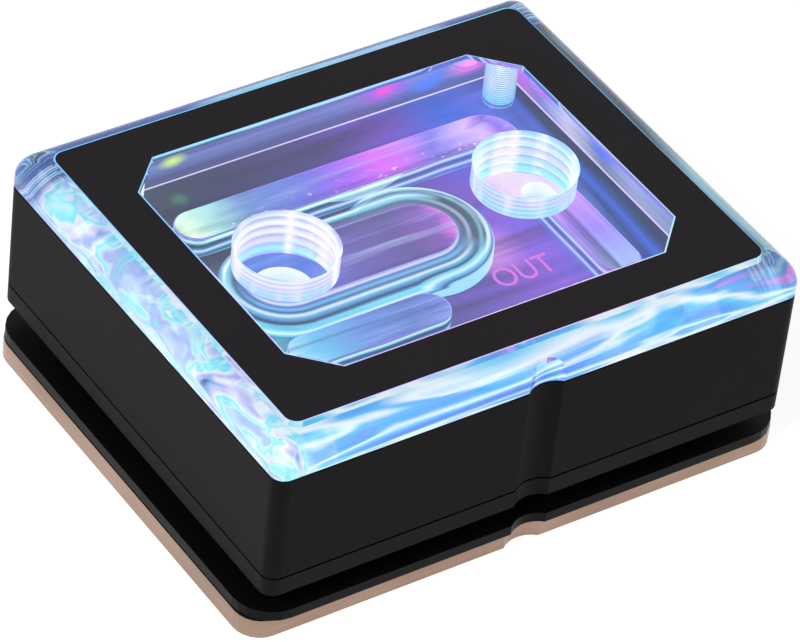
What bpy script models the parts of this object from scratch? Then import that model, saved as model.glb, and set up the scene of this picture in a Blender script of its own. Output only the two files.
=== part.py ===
"""CPU water block: a clear milled top in a black body, on a plated copper base with micro-fins.

Metres, +Z up. The origin is the middle of the contact face under the copper base. The longest
side lies along X, and the two ports stand on the X axis: the inlet at -X and the outlet at +X.
"""
import math

import bmesh
import bpy

MM = 0.001

# Clearances
GAP = 0.3 * MM                 # between faces and walls that touch
COVER_FIT = 0.2 * MM           # round the cover frame in its pocket

# Body outline, shared by the ridge, the housing and the clear top
BODY_WIDTH = 75.0 * MM
BODY_DEPTH = 62.1 * MM
BODY_CORNER = 1.8 * MM
NOTCH_WIDTH = 5.0 * MM
NOTCH_RADIUS = 3.9 * MM

# Housing
HOUSING_HEIGHT = 15.05 * MM
WALL_X = 3.8 * MM              # housing walls at the two ends
WALL_Y = 4.25 * MM             # housing walls at the back and front
FLOOR_THICK = 4.8 * MM
CABLE_SLOT_WIDTH = 6.0 * MM
CABLE_SLOT_HEIGHT = 2.5 * MM

# Copper base
PLATE_REACH_X = 1.45 * MM      # the base stands out past the body's ends
PLATE_INSET_Y = 0.75 * MM      # and stays inside its back and front
PLATE_THICK = 2.7 * MM
PLATE_CORNER = 3.5 * MM
FIN_PITCH = 1.0 * MM
FIN_THICK = 0.5 * MM
FIN_HEIGHT = 2.3 * MM
FIN_ROOT = 0.4 * MM
FIN_MARGIN_X = 7.0 * MM        # from the flow opening's walls to the finned field
FIN_MARGIN_Y = 4.0 * MM

# Mounting flange
FLANGE_REACH_X = 1.45 * MM
FLANGE_REACH_Y = 0.2 * MM
FLANGE_THICK = 1.4 * MM
FLANGE_CORNER = 5.2 * MM

# Base frame: the neck goes through the flange, and the ridge overhangs the hook slot
NECK_MARGIN_X = 4.0 * MM       # from the corner screws' lines to the neck's faces
NECK_MARGIN_Y = 5.0 * MM
NECK_CORNER = 4.0 * MM
COLLAR_STEP = 2.5 * MM         # the collar above the flange stands out this far round the neck
HOOK_SLOT_HEIGHT = 2.95 * MM
RIDGE_THICK = 2.45 * MM
FLOW_MARGIN_X = 9.5 * MM       # from the neck's faces to the flow opening
FLOW_MARGIN_Y = 8.0 * MM
FLOW_OPENING_CORNER = 3.0 * MM

# Clear top
TOP_THICK = 5.15 * MM
ROUND_OVER = 3.8 * MM
BLOCK_CORNER = 1.5 * MM
PORT_MARGIN = 14.1 * MM        # from the clear block's ends to the ports' centres
PORT_RADIUS = 6.58 * MM        # G1/4, largest thread diameter 13.16 mm
PORT_DEPTH = 6.6 * MM
PORT_CHAMFER = 0.2 * MM
INLET_BORE_RADIUS = 3.9 * MM

# Channels milled in the clear top from below, placed from the clear block's faces
CHANNEL_WIDTH = 5.65 * MM
CHANNEL_DEPTH = 5.5 * MM
CHANNEL_CORNER = 4.5 * MM
CHANNEL_MARGIN_LEFT = 7.1 * MM     # to the left ends of the back and front channels
CHANNEL_MARGIN_RIGHT = 7.2 * MM    # to the outlet channel's right leg
CHANNEL_MARGIN_BACK = 8.45 * MM    # to the outlet channel's back leg
CHANNEL_MARGIN_FRONT = 6.5 * MM    # to the front end of the right leg
FRONT_CHANNEL_MARGIN = 9.0 * MM    # to the front channel's nearer edge
FRONT_CHANNEL_RIGHT = -1.9 * MM
INLET_CHANNEL_WIDTH = 9.5 * MM
INLET_CHANNEL_DEPTH = 6.1 * MM
CHAMBER_X = 2.1 * MM           # centre of the round inlet chamber
CHAMBER_RADIUS = 9.4 * MM
CHAMBER_NECK_WIDTH = 16.0 * MM
CHAMBER_DEPTH = 5.1 * MM
CHAMBER_FILLET = 2.6 * MM
OUTLET_DROP_MARGIN = 3.4 * MM  # from the outlet channel's outer edge to the middle of the drop
OUTLET_DROP_WIDTH = 4.0 * MM
OUTLET_DROP_LENGTH = 6.6 * MM

# Cover frame
COVER_INSET = 3.55 * MM
COVER_THICK = 1.0 * MM
COVER_CORNER = 1.6 * MM
COVER_BAND_X = 5.825 * MM      # the frame's bands at the two ends
COVER_BAND_Y = 5.75 * MM       # the frame's bands at the back and front
WINDOW_CHAMFER = 5.1 * MM

# Flow parts inside the base frame
JET_THICK = 0.8 * MM
JET_MARGIN_Y = 3.0 * MM        # from the fins' ends to the jet plate's long edges
JET_SLOT_WIDTH = 1.2 * MM
JET_SLOT_MARGIN = 9.0 * MM     # from the flow opening's ends to the jet slot
GUIDE_SLOT_WIDTH = 3.0 * MM
GUIDE_POOL_DEPTH = 1.5 * MM
RETURN_SLOT_MARGIN = 7.0 * MM  # from the flow opening's ends to the return slots
RETURN_SLOT_WIDTH = 4.0 * MM
FRONT_RETURN_LENGTH = 16.0 * MM
INLET_PASSAGE_RADIUS = 7.4 * MM

# Rubber rings
SEAL_RADIUS = 0.6 * MM
SEAL_CORNER = 5.0 * MM
BASE_SEAL_LAND = 2.2 * MM      # from the flow opening's wall to the ring's centre line
CHANNEL_SEAL_LAND = 1.7 * MM   # from the outlet channel's outer edge to the ring's centre line

# Lamps round the clear block
LED_WIDTH = 3.5 * MM
LED_HEIGHT = 2.8 * MM
LED_THICK = 1.0 * MM
LED_LENS_RADIUS = 1.15 * MM
LED_LENS_DEPTH = 0.25 * MM
LED_DROP = 4.75 * MM           # from the clear slab's underside down to the lamp centres
LED_PITCH = 15.0 * MM
LED_BACK_START = 13.1 * MM     # from the clear block's left face to the first lamp of a row
LED_SIDE_START = 9.5 * MM      # from its front face to the first lamp of a side
LED_END = 4.0 * MM             # least distance from the last lamp to the far face
STRIP_THICK = 0.4 * MM
STRIP_HEIGHT = 4.6 * MM

# Screws
CORNER_SCREW_MARGIN_X = 3.9 * MM   # from the clear block's faces to the corner screws
CORNER_SCREW_MARGIN_Y = 4.5 * MM
CORNER_SHANK = 1.8 * MM
CORNER_HEAD = 3.7 * MM
CORNER_REACH = 7.4 * MM        # length that the screw enters the clear block
BASE_SHANK = 1.2 * MM
BASE_HEAD = 2.3 * MM
BASE_SCREW_MARGIN_X = 3.2 * MM     # from the neck's faces to the short screws
BASE_SCREW_MARGIN_Y = 2.6 * MM
BASE_REACH = 4.6 * MM          # length that the short screw enters the base frame
SOCKET_DEPTH = 1.1 * MM
TIP_CHAMFER = 0.4 * MM

# Levels, from the contact face up
PLATE_TOP = PLATE_THICK
FLANGE_BOTTOM = PLATE_TOP + GAP
FLANGE_TOP = FLANGE_BOTTOM + FLANGE_THICK
COLLAR_BOTTOM = FLANGE_TOP + GAP
RIDGE_BOTTOM = FLANGE_TOP + HOOK_SLOT_HEIGHT
RIDGE_TOP = RIDGE_BOTTOM + RIDGE_THICK
HOUSING_BOTTOM = RIDGE_TOP + GAP
FLOOR_TOP = HOUSING_BOTTOM + FLOOR_THICK
BLOCK_BOTTOM = FLOOR_TOP + GAP
HOUSING_TOP = HOUSING_BOTTOM + HOUSING_HEIGHT
TOP_BOTTOM = HOUSING_TOP + GAP
TOP = TOP_BOTTOM + TOP_THICK
POCKET_FLOOR = TOP - COVER_THICK - GAP
PORT_FLOOR = TOP - PORT_DEPTH
LED_LEVEL = TOP_BOTTOM - LED_DROP
FIN_TOP = PLATE_TOP + FIN_HEIGHT
JET_BOTTOM = FIN_TOP + GAP
JET_TOP = JET_BOTTOM + JET_THICK
GUIDE_BOTTOM = JET_TOP + GAP
GUIDE_TOP = RIDGE_TOP

# Widths, depths and places that several pieces share
BODY_FRONT = -BODY_DEPTH / 2
WALL_CLEAR = GAP + LED_THICK + GAP + STRIP_THICK + GAP
RECESS_WIDTH = BODY_WIDTH - 2 * WALL_X
RECESS_DEPTH = BODY_DEPTH - 2 * WALL_Y
BLOCK_WIDTH = RECESS_WIDTH - 2 * WALL_CLEAR
BLOCK_DEPTH = RECESS_DEPTH - 2 * WALL_CLEAR
COVER_WIDTH = BODY_WIDTH - 2 * COVER_INSET
COVER_DEPTH = BODY_DEPTH - 2 * COVER_INSET
PLATE_WIDTH = BODY_WIDTH + 2 * PLATE_REACH_X
PLATE_DEPTH = BODY_DEPTH - 2 * PLATE_INSET_Y
FLANGE_WIDTH = BODY_WIDTH + 2 * FLANGE_REACH_X
FLANGE_DEPTH = BODY_DEPTH + 2 * FLANGE_REACH_Y
CORNER_SCREW_X = BLOCK_WIDTH / 2 - CORNER_SCREW_MARGIN_X
CORNER_SCREW_Y = BLOCK_DEPTH / 2 - CORNER_SCREW_MARGIN_Y
NECK_WIDTH = 2 * (CORNER_SCREW_X + NECK_MARGIN_X)
NECK_DEPTH = 2 * (CORNER_SCREW_Y + NECK_MARGIN_Y)
BASE_SCREW_X = NECK_WIDTH / 2 - BASE_SCREW_MARGIN_X
BASE_SCREW_Y = NECK_DEPTH / 2 - BASE_SCREW_MARGIN_Y
FLOW_OPENING_WIDTH = NECK_WIDTH - 2 * FLOW_MARGIN_X
FLOW_OPENING_DEPTH = NECK_DEPTH - 2 * FLOW_MARGIN_Y
FIN_COUNT = round((FLOW_OPENING_WIDTH - 2 * FIN_MARGIN_X) / FIN_PITCH)
FIN_LENGTH = FLOW_OPENING_DEPTH - 2 * FIN_MARGIN_Y
JET_DEPTH = FIN_LENGTH - 2 * JET_MARGIN_Y
JET_SLOT_LENGTH = FLOW_OPENING_WIDTH - 2 * JET_SLOT_MARGIN
RETURN_SLOT_LENGTH = FLOW_OPENING_WIDTH - 2 * RETURN_SLOT_MARGIN
PORT_X = BLOCK_WIDTH / 2 - PORT_MARGIN
CHANNEL_CEILING = BLOCK_BOTTOM + CHANNEL_DEPTH
CHANNEL_LEFT = -BLOCK_WIDTH / 2 + CHANNEL_MARGIN_LEFT
CHANNEL_RIGHT = BLOCK_WIDTH / 2 - CHANNEL_MARGIN_RIGHT
CHANNEL_BACK = BLOCK_DEPTH / 2 - CHANNEL_MARGIN_BACK
CHANNEL_END = -BLOCK_DEPTH / 2 + CHANNEL_MARGIN_FRONT
FRONT_CHANNEL_Y = -BLOCK_DEPTH / 2 + FRONT_CHANNEL_MARGIN + CHANNEL_WIDTH / 2
OUTLET_DROP_X = CHANNEL_RIGHT - OUTLET_DROP_MARGIN
RETURN_SLOT_Y = CHANNEL_BACK - CHANNEL_WIDTH / 2
SCREW_HOLE = CORNER_SHANK + GAP
BASE_HOLE = BASE_SHANK + GAP
THROUGH = 1.0 * MM             # how far a cutter runs past the face that it opens
CORNERS = [(1, 1), (-1, 1), (-1, -1), (1, -1)]
ARC_STEPS = 6
CIRCLE_STEPS = 32
SCREW_STEPS = 20

PARTS = None
CUTTERS = None
GROUPS = {}                    # cutters by piece and operation


def start_scene():
    """Empties the scene and makes the two collections."""
    global PARTS, CUTTERS
    for item in list(bpy.data.objects):
        bpy.data.objects.remove(item, do_unlink=True)
    PARTS = bpy.data.collections.new("cpu_water_block")
    CUTTERS = bpy.data.collections.new("cutters")
    for group in (PARTS, CUTTERS):
        bpy.context.scene.collection.children.link(group)


def material(name, colour, roughness, metallic=0.0, transmission=0.0):
    """A Principled material in the colour that the photograph shows."""
    made = bpy.data.materials.new(name)
    made.use_nodes = True
    shader = made.node_tree.nodes["Principled BSDF"]
    shader.inputs["Base Color"].default_value = (*colour, 1.0)
    shader.inputs["Roughness"].default_value = roughness
    shader.inputs["Metallic"].default_value = metallic
    shader.inputs["Transmission Weight"].default_value = transmission
    made.diffuse_color = (*colour, 1.0)
    return made


def make_materials():
    return {
        "copper": material("plated_copper", (0.56, 0.43, 0.36), 0.32, metallic=1.0),
        "black_metal": material("black_steel", (0.022, 0.020, 0.021), 0.42, metallic=0.3),
        "black_plastic": material("black_acetal", (0.020, 0.019, 0.019), 0.5),
        "cover": material("satin_black", (0.023, 0.020, 0.023), 0.48),
        "clear": material("clear_acrylic", (0.86, 0.93, 1.0), 0.03, transmission=1.0),
        "steel": material("stainless_steel", (0.62, 0.62, 0.64), 0.25, metallic=1.0),
        "rubber": material("black_rubber", (0.018, 0.018, 0.018), 0.7),
        "board": material("white_board", (0.78, 0.79, 0.80), 0.5),
        "lamp": material("lamp_white", (0.9, 0.92, 0.95), 0.35),
    }


def arc(centre_x, centre_y, radius, start, end, steps=ARC_STEPS):
    """Points along an arc, both ends included, angles in degrees."""
    points = []
    for step in range(steps + 1):
        angle = math.radians(start + (end - start) * step / steps)
        points.append((centre_x + radius * math.cos(angle), centre_y + radius * math.sin(angle)))
    return points


def circle(centre_x, centre_y, radius, steps=CIRCLE_STEPS):
    return arc(centre_x, centre_y, radius, 0, 360, steps)[:-1]


def rectangle(width, depth, corner, steps=ARC_STEPS, centre=(0.0, 0.0)):
    """A rectangle with round corners, or with flat chamfers when steps is 1."""
    points = []
    for (side_x, side_y), start in zip(CORNERS, (0, 90, 180, 270)):
        middle_x = centre[0] + side_x * (width / 2 - corner)
        middle_y = centre[1] + side_y * (depth / 2 - corner)
        points += arc(middle_x, middle_y, corner, start, start + 90, steps)
    return points


def capsule(left, right, centre_y, width):
    """A slot with round ends along X."""
    radius = width / 2
    return (arc(right - radius, centre_y, radius, -90, 90, 2 * ARC_STEPS)
            + arc(left + radius, centre_y, radius, 90, 270, 2 * ARC_STEPS))


def place(name, mesh, coll):
    made = bpy.data.objects.new(name, mesh)
    coll.objects.link(made)
    if coll is CUTTERS:
        made.hide_render = True
        made.display_type = 'WIRE'
    return made


def slab(name, outlines, bottom, top, coll=None):
    """A flat piece from a filled 2D curve: the first outline, less the ones after it."""
    curve = bpy.data.curves.new(name, 'CURVE')
    curve.dimensions = '2D'
    curve.fill_mode = 'BOTH'
    curve.extrude = (top - bottom) / 2
    for outline in outlines:
        spline = curve.splines.new('POLY')
        spline.points.add(len(outline) - 1)
        for point, (x, y) in zip(spline.points, outline):
            point.co = (x, y, 0, 1)
        spline.use_cyclic_u = True
    return solid_from_curve(name, curve, (bottom + top) / 2, coll)


def solid_from_curve(name, curve, height, coll=None):
    """Turns a curve into a closed mesh at its height and drops the curve."""
    guide = bpy.data.objects.new(name + "_guide", curve)
    bpy.context.scene.collection.objects.link(guide)
    guide.location.z = height
    depsgraph = bpy.context.evaluated_depsgraph_get()
    mesh = bpy.data.meshes.new_from_object(guide.evaluated_get(depsgraph))
    mesh.name = name
    work = bmesh.new()
    work.from_mesh(mesh)
    bmesh.ops.remove_doubles(work, verts=work.verts, dist=1e-7)
    bmesh.ops.recalc_face_normals(work, faces=work.faces)
    bmesh.ops.dissolve_limit(work, angle_limit=math.radians(0.1), verts=work.verts, edges=work.edges)
    work.to_mesh(mesh)
    work.free()
    made = place(name, mesh, coll or PARTS)
    made.matrix_world = guide.matrix_world.copy()
    bpy.data.objects.remove(guide)
    bpy.data.curves.remove(curve)
    return made


def combine(target, other, operation='DIFFERENCE'):
    """Notes a cutter for the piece. The Booleans follow once everything is drawn."""
    GROUPS.setdefault((target.name, operation), []).append(other)


def add_booleans():
    """One Boolean per piece and operation, over a collection of its cutters."""
    for operation in ('INTERSECT', 'UNION', 'DIFFERENCE'):
        for (piece, wanted), cutters in GROUPS.items():
            if wanted != operation:
                continue
            label = f"{piece}_{operation.lower()}"
            group = bpy.data.collections.new(label)
            CUTTERS.children.link(group)
            for cutter in cutters:
                group.objects.link(cutter)
            change = bpy.data.objects[piece].modifiers.new(label, 'BOOLEAN')
            change.operand_type = 'COLLECTION'
            change.collection = group
            change.operation = operation
            change.solver = 'EXACT'


def cut_slab(target, name, outline, bottom, top):
    cutter = slab(f"{target.name}_{name}", [outline], bottom, top, CUTTERS)
    combine(target, cutter)
    return cutter


def cut_cone(target, name, centre, low, high, bottom, top):
    """Cuts a cone that grows from the low radius at the bottom to the high one at the top."""
    mesh = bpy.data.meshes.new(f"{target.name}_{name}")
    work = bmesh.new()
    bmesh.ops.create_cone(work, cap_ends=True, segments=2 * CIRCLE_STEPS, radius1=low, radius2=high,
                          depth=top - bottom)
    work.to_mesh(mesh)
    work.free()
    cutter = place(mesh.name, mesh, CUTTERS)
    cutter.location = (centre[0], centre[1], (bottom + top) / 2)
    combine(target, cutter)


def turned(name, profile, centre, coll=None, steps=CIRCLE_STEPS):
    """A turned piece from (radius, height) points that run down its outer side."""
    mesh = bpy.data.meshes.new(name)
    points = [(radius, 0, height) for radius, height in profile]
    mesh.from_pydata(points, [(i, i + 1) for i in range(len(points) - 1)], [])
    made = place(name, mesh, coll or PARTS)
    made.location = (centre[0], centre[1], 0)
    spin = made.modifiers.new("spin", 'SCREW')
    spin.steps = steps
    spin.render_steps = steps
    spin.use_merge_vertices = True
    spin.merge_threshold = 0.01 * MM
    return made


def finish(piece, look, smooth_angle=35):
    """Gives a piece its material and smooth round faces."""
    piece.data.materials.append(look)
    piece.data.shade_smooth()
    piece.data.set_sharp_from_angle(angle=math.radians(smooth_angle))
    return piece


def round_edges(piece, level, radius, steps):
    """Rounds the outline edges of a slab that lie at one level."""
    work = bmesh.new()
    work.from_mesh(piece.data)
    height = level - piece.location.z
    rim = [edge for edge in work.edges
           if all(abs(vertex.co.z - height) < 0.01 * MM for vertex in edge.verts)
           and any(abs(face.normal.z) < 0.5 for face in edge.link_faces)]
    bmesh.ops.bevel(work, geom=rim, offset=radius, segments=steps, profile=0.5,
                    affect='EDGES', clamp_overlap=True)
    work.to_mesh(piece.data)
    work.free()


def cut_notch(target, front, bottom, top):
    """The shallow round notch in the middle of the front."""
    depth = NOTCH_RADIUS - math.sqrt(NOTCH_RADIUS ** 2 - (NOTCH_WIDTH / 2) ** 2)
    centre_y = front + depth - NOTCH_RADIUS
    cut_slab(target, "notch", circle(0, centre_y, NOTCH_RADIUS, 2 * CIRCLE_STEPS),
             bottom - THROUGH, top + THROUGH)


def corner_places():
    return [(sx * CORNER_SCREW_X, sy * CORNER_SCREW_Y) for sx, sy in CORNERS]


def base_screw_places():
    return [(BASE_SCREW_X, 0), (0, BASE_SCREW_Y), (-BASE_SCREW_X, 0), (0, -BASE_SCREW_Y)]


def countersink(name, centre, hole, head):
    """A cutter for a through hole with a countersunk mouth in the contact face."""
    mouth = head + GAP
    rim = GAP
    return turned(name, [(0, PLATE_TOP + THROUGH), (hole, PLATE_TOP + THROUGH), (hole, rim + mouth - hole),
                         (mouth, rim), (mouth, -THROUGH), (0, -THROUGH)], centre, CUTTERS, SCREW_STEPS)


def fin_comb():
    """The fins on a common root that is sunk into the plate, as one comb drawn in X and Z."""
    left = -(FIN_COUNT - 1) * FIN_PITCH / 2
    points = []
    for number in range(FIN_COUNT):
        middle = left + number * FIN_PITCH
        edges = (middle - FIN_THICK / 2, middle + FIN_THICK / 2)
        points += [(edges[0], PLATE_TOP), (edges[0], FIN_TOP), (edges[1], FIN_TOP), (edges[1], PLATE_TOP)]
    points += [(points[-1][0], PLATE_TOP - FIN_ROOT), (points[0][0], PLATE_TOP - FIN_ROOT)]
    comb = slab("fin_comb", [points], -FIN_LENGTH / 2, FIN_LENGTH / 2, CUTTERS)
    comb.rotation_euler = (math.pi / 2, 0, 0)
    return comb


def make_cold_plate(looks):
    """Copper base with the fins standing on its inner face."""
    outline = rectangle(PLATE_WIDTH, PLATE_DEPTH, PLATE_CORNER)
    plate = slab("cold_plate", [outline], 0, PLATE_TOP)
    cut_notch(plate, -PLATE_DEPTH / 2, 0, PLATE_TOP)
    combine(plate, fin_comb(), 'UNION')
    for number, centre in enumerate(corner_places()):
        combine(plate, countersink(f"corner_sink_{number + 1}", centre, SCREW_HOLE, CORNER_HEAD))
    for number, centre in enumerate(base_screw_places()):
        combine(plate, countersink(f"base_sink_{number + 1}", centre, BASE_HOLE, BASE_HEAD))
    finish(plate, looks["copper"])


def make_mount_flange(looks):
    """Flat plate round the neck, pressed on by the mounting hooks."""
    opening = rectangle(NECK_WIDTH + 2 * GAP, NECK_DEPTH + 2 * GAP, NECK_CORNER + GAP)
    outline = rectangle(FLANGE_WIDTH, FLANGE_DEPTH, FLANGE_CORNER)
    flange = slab("mount_flange", [outline, opening], FLANGE_BOTTOM, FLANGE_TOP)
    cut_notch(flange, -FLANGE_DEPTH / 2, FLANGE_BOTTOM, FLANGE_TOP)
    finish(flange, looks["black_metal"])


def flow_opening(inset=0.0):
    return rectangle(FLOW_OPENING_WIDTH - 2 * inset, FLOW_OPENING_DEPTH - 2 * inset,
                     FLOW_OPENING_CORNER - inset)


def make_base_frame(looks):
    """Neck, collar and ridge in one piece, with the flow parts' opening."""
    frame = slab("base_frame", [rectangle(BODY_WIDTH, BODY_DEPTH, BODY_CORNER)], RIDGE_BOTTOM, RIDGE_TOP)
    cut_notch(frame, BODY_FRONT, RIDGE_BOTTOM, RIDGE_TOP)
    collar_outline = rectangle(NECK_WIDTH + 2 * COLLAR_STEP, NECK_DEPTH + 2 * COLLAR_STEP,
                               NECK_CORNER + COLLAR_STEP)
    collar = slab("collar", [collar_outline], COLLAR_BOTTOM, RIDGE_BOTTOM + RIDGE_THICK / 2, CUTTERS)
    combine(frame, collar, 'UNION')
    neck_top = COLLAR_BOTTOM + (RIDGE_BOTTOM - COLLAR_BOTTOM) / 2
    neck = slab("neck", [rectangle(NECK_WIDTH, NECK_DEPTH, NECK_CORNER)], FLANGE_BOTTOM, neck_top, CUTTERS)
    combine(frame, neck, 'UNION')
    cut_slab(frame, "opening", flow_opening(), FLANGE_BOTTOM - THROUGH, RIDGE_TOP + THROUGH)
    for number, (x, y) in enumerate(corner_places()):
        cut_slab(frame, f"corner_hole_{number + 1}", circle(x, y, SCREW_HOLE, SCREW_STEPS),
                 FLANGE_BOTTOM - THROUGH, RIDGE_TOP + THROUGH)
    for number, (x, y) in enumerate(base_screw_places()):
        cut_slab(frame, f"base_hole_{number + 1}", circle(x, y, BASE_HOLE, SCREW_STEPS),
                 FLANGE_BOTTOM - THROUGH, FLANGE_BOTTOM + BASE_REACH + GAP)
    cut_seal_groove(frame, base_seal_outline, FLANGE_BOTTOM, 1)
    finish(frame, looks["black_plastic"])


def base_seal_outline(grow=0.0):
    """The ring's path round the flow opening, moved outwards by grow."""
    reach = 2 * (BASE_SEAL_LAND + grow)
    return rectangle(FLOW_OPENING_WIDTH + reach, FLOW_OPENING_DEPTH + reach, SEAL_CORNER + grow)


def channel_seal_outline(grow=0.0):
    """The ring's path round the outlet channel, moved outwards by grow."""
    reach = CHANNEL_SEAL_LAND + grow
    return rectangle(2 * (CHANNEL_RIGHT + reach), 2 * (-CHANNEL_END + reach), SEAL_CORNER + grow)


def cut_seal_groove(target, outline, face, way):
    """A square groove for a rubber ring, cut into the face at this level, up or down."""
    half = SEAL_RADIUS + GAP
    ends = sorted((face - way * THROUGH, face + way * (2 * SEAL_RADIUS + GAP)))
    cutter = slab(f"{target.name}_groove", [outline(half), outline(-half)], ends[0], ends[1], CUTTERS)
    combine(target, cutter)


def make_seal(name, outline, level, looks):
    """A rubber ring whose centre line lies at this level."""
    curve = bpy.data.curves.new(name, 'CURVE')
    curve.dimensions = '3D'
    curve.bevel_depth = SEAL_RADIUS
    curve.bevel_resolution = 2
    spline = curve.splines.new('POLY')
    points = outline()
    spline.points.add(len(points) - 1)
    for point, (x, y) in zip(spline.points, points):
        point.co = (x, y, 0, 1)
    spline.use_cyclic_u = True
    finish(solid_from_curve(name, curve, level), looks["rubber"], 60)


def make_seals(looks):
    """Each ring lies 0.3 mm clear of its groove's floor and of the face that closes it."""
    make_seal("plate_seal", base_seal_outline, PLATE_TOP + GAP + SEAL_RADIUS, looks)
    make_seal("base_seal", base_seal_outline, RIDGE_TOP + GAP + SEAL_RADIUS, looks)
    make_seal("channel_seal", channel_seal_outline, BLOCK_BOTTOM - GAP - SEAL_RADIUS, looks)


def make_jet_plate(looks):
    """Thin plate over the fins with the slot that the coolant enters by."""
    width = FLOW_OPENING_WIDTH - 2 * GAP
    outline = rectangle(width, JET_DEPTH, FLOW_OPENING_CORNER - GAP)
    slot = capsule(-JET_SLOT_LENGTH / 2, JET_SLOT_LENGTH / 2, 0, JET_SLOT_WIDTH)
    finish(slab("jet_plate", [outline, slot], JET_BOTTOM, JET_TOP), looks["steel"])


def return_slots():
    """The two slots past the fins' ends, back and front."""
    half = RETURN_SLOT_LENGTH / 2
    return [capsule(-half, half, side * RETURN_SLOT_Y, RETURN_SLOT_WIDTH) for side in (1, -1)]


def make_flow_guide(looks):
    """Block that narrows the inlet to the jet slot and lets the return flow up."""
    slot = capsule(-JET_SLOT_LENGTH / 2, JET_SLOT_LENGTH / 2, 0, GUIDE_SLOT_WIDTH)
    guide = slab("flow_guide", [flow_opening(GAP), slot, *return_slots()], GUIDE_BOTTOM, GUIDE_TOP)
    cut_slab(guide, "pool", circle(CHAMBER_X, 0, INLET_PASSAGE_RADIUS), GUIDE_TOP - GUIDE_POOL_DEPTH,
             GUIDE_TOP + THROUGH)
    finish(guide, looks["black_plastic"])


def make_housing(looks):
    """Tall body with the recess for the clear block and the passages in its floor."""
    outline = rectangle(BODY_WIDTH, BODY_DEPTH, BODY_CORNER)
    back_return = return_slots()[0]
    front_left = CHANNEL_LEFT + CHANNEL_WIDTH / 2
    front_return = capsule(front_left, front_left + FRONT_RETURN_LENGTH, FRONT_CHANNEL_Y, RETURN_SLOT_WIDTH)
    passage = circle(CHAMBER_X, 0, INLET_PASSAGE_RADIUS)
    holes = [circle(x, y, SCREW_HOLE, SCREW_STEPS) for x, y in corner_places()]
    housing = slab("housing", [outline, passage, back_return, front_return, *holes],
                   HOUSING_BOTTOM, HOUSING_TOP)
    cut_notch(housing, BODY_FRONT, HOUSING_BOTTOM, HOUSING_TOP)
    recess = rectangle(RECESS_WIDTH, RECESS_DEPTH, BLOCK_CORNER + WALL_CLEAR)
    cut_slab(housing, "recess", recess, FLOOR_TOP, HOUSING_TOP + THROUGH)
    cable = rectangle(CABLE_SLOT_WIDTH, BODY_DEPTH / 2, CABLE_SLOT_HEIGHT / 3, ARC_STEPS, (0, BODY_DEPTH / 2))
    cut_slab(housing, "cable_slot", cable, FLOOR_TOP, FLOOR_TOP + CABLE_SLOT_HEIGHT)
    cut_seal_groove(housing, base_seal_outline, HOUSING_BOTTOM, 1)
    top_groove = slab("housing_top_groove", [channel_seal_outline(SEAL_RADIUS + GAP),
                                             channel_seal_outline(-SEAL_RADIUS - GAP)],
                      FLOOR_TOP - 2 * SEAL_RADIUS - GAP, FLOOR_TOP + THROUGH, CUTTERS)
    combine(housing, top_groove)
    finish(housing, looks["black_plastic"])


def rounded_ridge(name, width, length, turn):
    """A long bar with the top's round-over on both sides, laid along Y, or along X when turned."""
    half = width / 2
    flank = half + THROUGH
    low = TOP - ROUND_OVER
    points = [(-flank, BLOCK_BOTTOM), (flank, BLOCK_BOTTOM), (flank, low)]
    points += arc(half - ROUND_OVER, low, ROUND_OVER, 0, 90, 2 * ARC_STEPS)
    points += arc(ROUND_OVER - half, low, ROUND_OVER, 90, 180, 2 * ARC_STEPS)
    points.append((-flank, low))
    bar = slab(name, [points], -length / 2, length / 2, CUTTERS)
    bar.rotation_euler = (math.pi / 2, 0, math.pi / 2 if turn else 0)
    return bar


def outlet_channel():
    """The L-shaped channel along the back and down the right side, as one outline."""
    width = CHANNEL_WIDTH
    radius = width / 2
    inner = CHANNEL_CORNER - width if CHANNEL_CORNER > width else 0.25 * width
    left_x = CHANNEL_LEFT + radius
    inner_x = CHANNEL_RIGHT - width - inner
    inner_y = CHANNEL_BACK - width - inner
    outer_x = CHANNEL_RIGHT - CHANNEL_CORNER
    outer_y = CHANNEL_BACK - CHANNEL_CORNER
    points = arc(left_x, CHANNEL_BACK - radius, radius, 90, 270, 2 * ARC_STEPS)
    points += arc(inner_x, inner_y, inner, 90, 0)
    points += arc(CHANNEL_RIGHT - radius, CHANNEL_END + radius, radius, 180, 360, 2 * ARC_STEPS)
    points += arc(outer_x, outer_y, CHANNEL_CORNER, 0, 90)
    return points


def inlet_chamber():
    """A round chamber with a wide neck that reaches round the inlet port."""
    half = CHAMBER_NECK_WIDTH / 2
    turn = math.degrees(math.asin(half / CHAMBER_RADIUS))
    return (arc(CHAMBER_X, 0, CHAMBER_RADIUS, turn - 180, 180 - turn, 6 * ARC_STEPS)
            + arc(-PORT_X, 0, half, 90, 270, 2 * ARC_STEPS))


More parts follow.
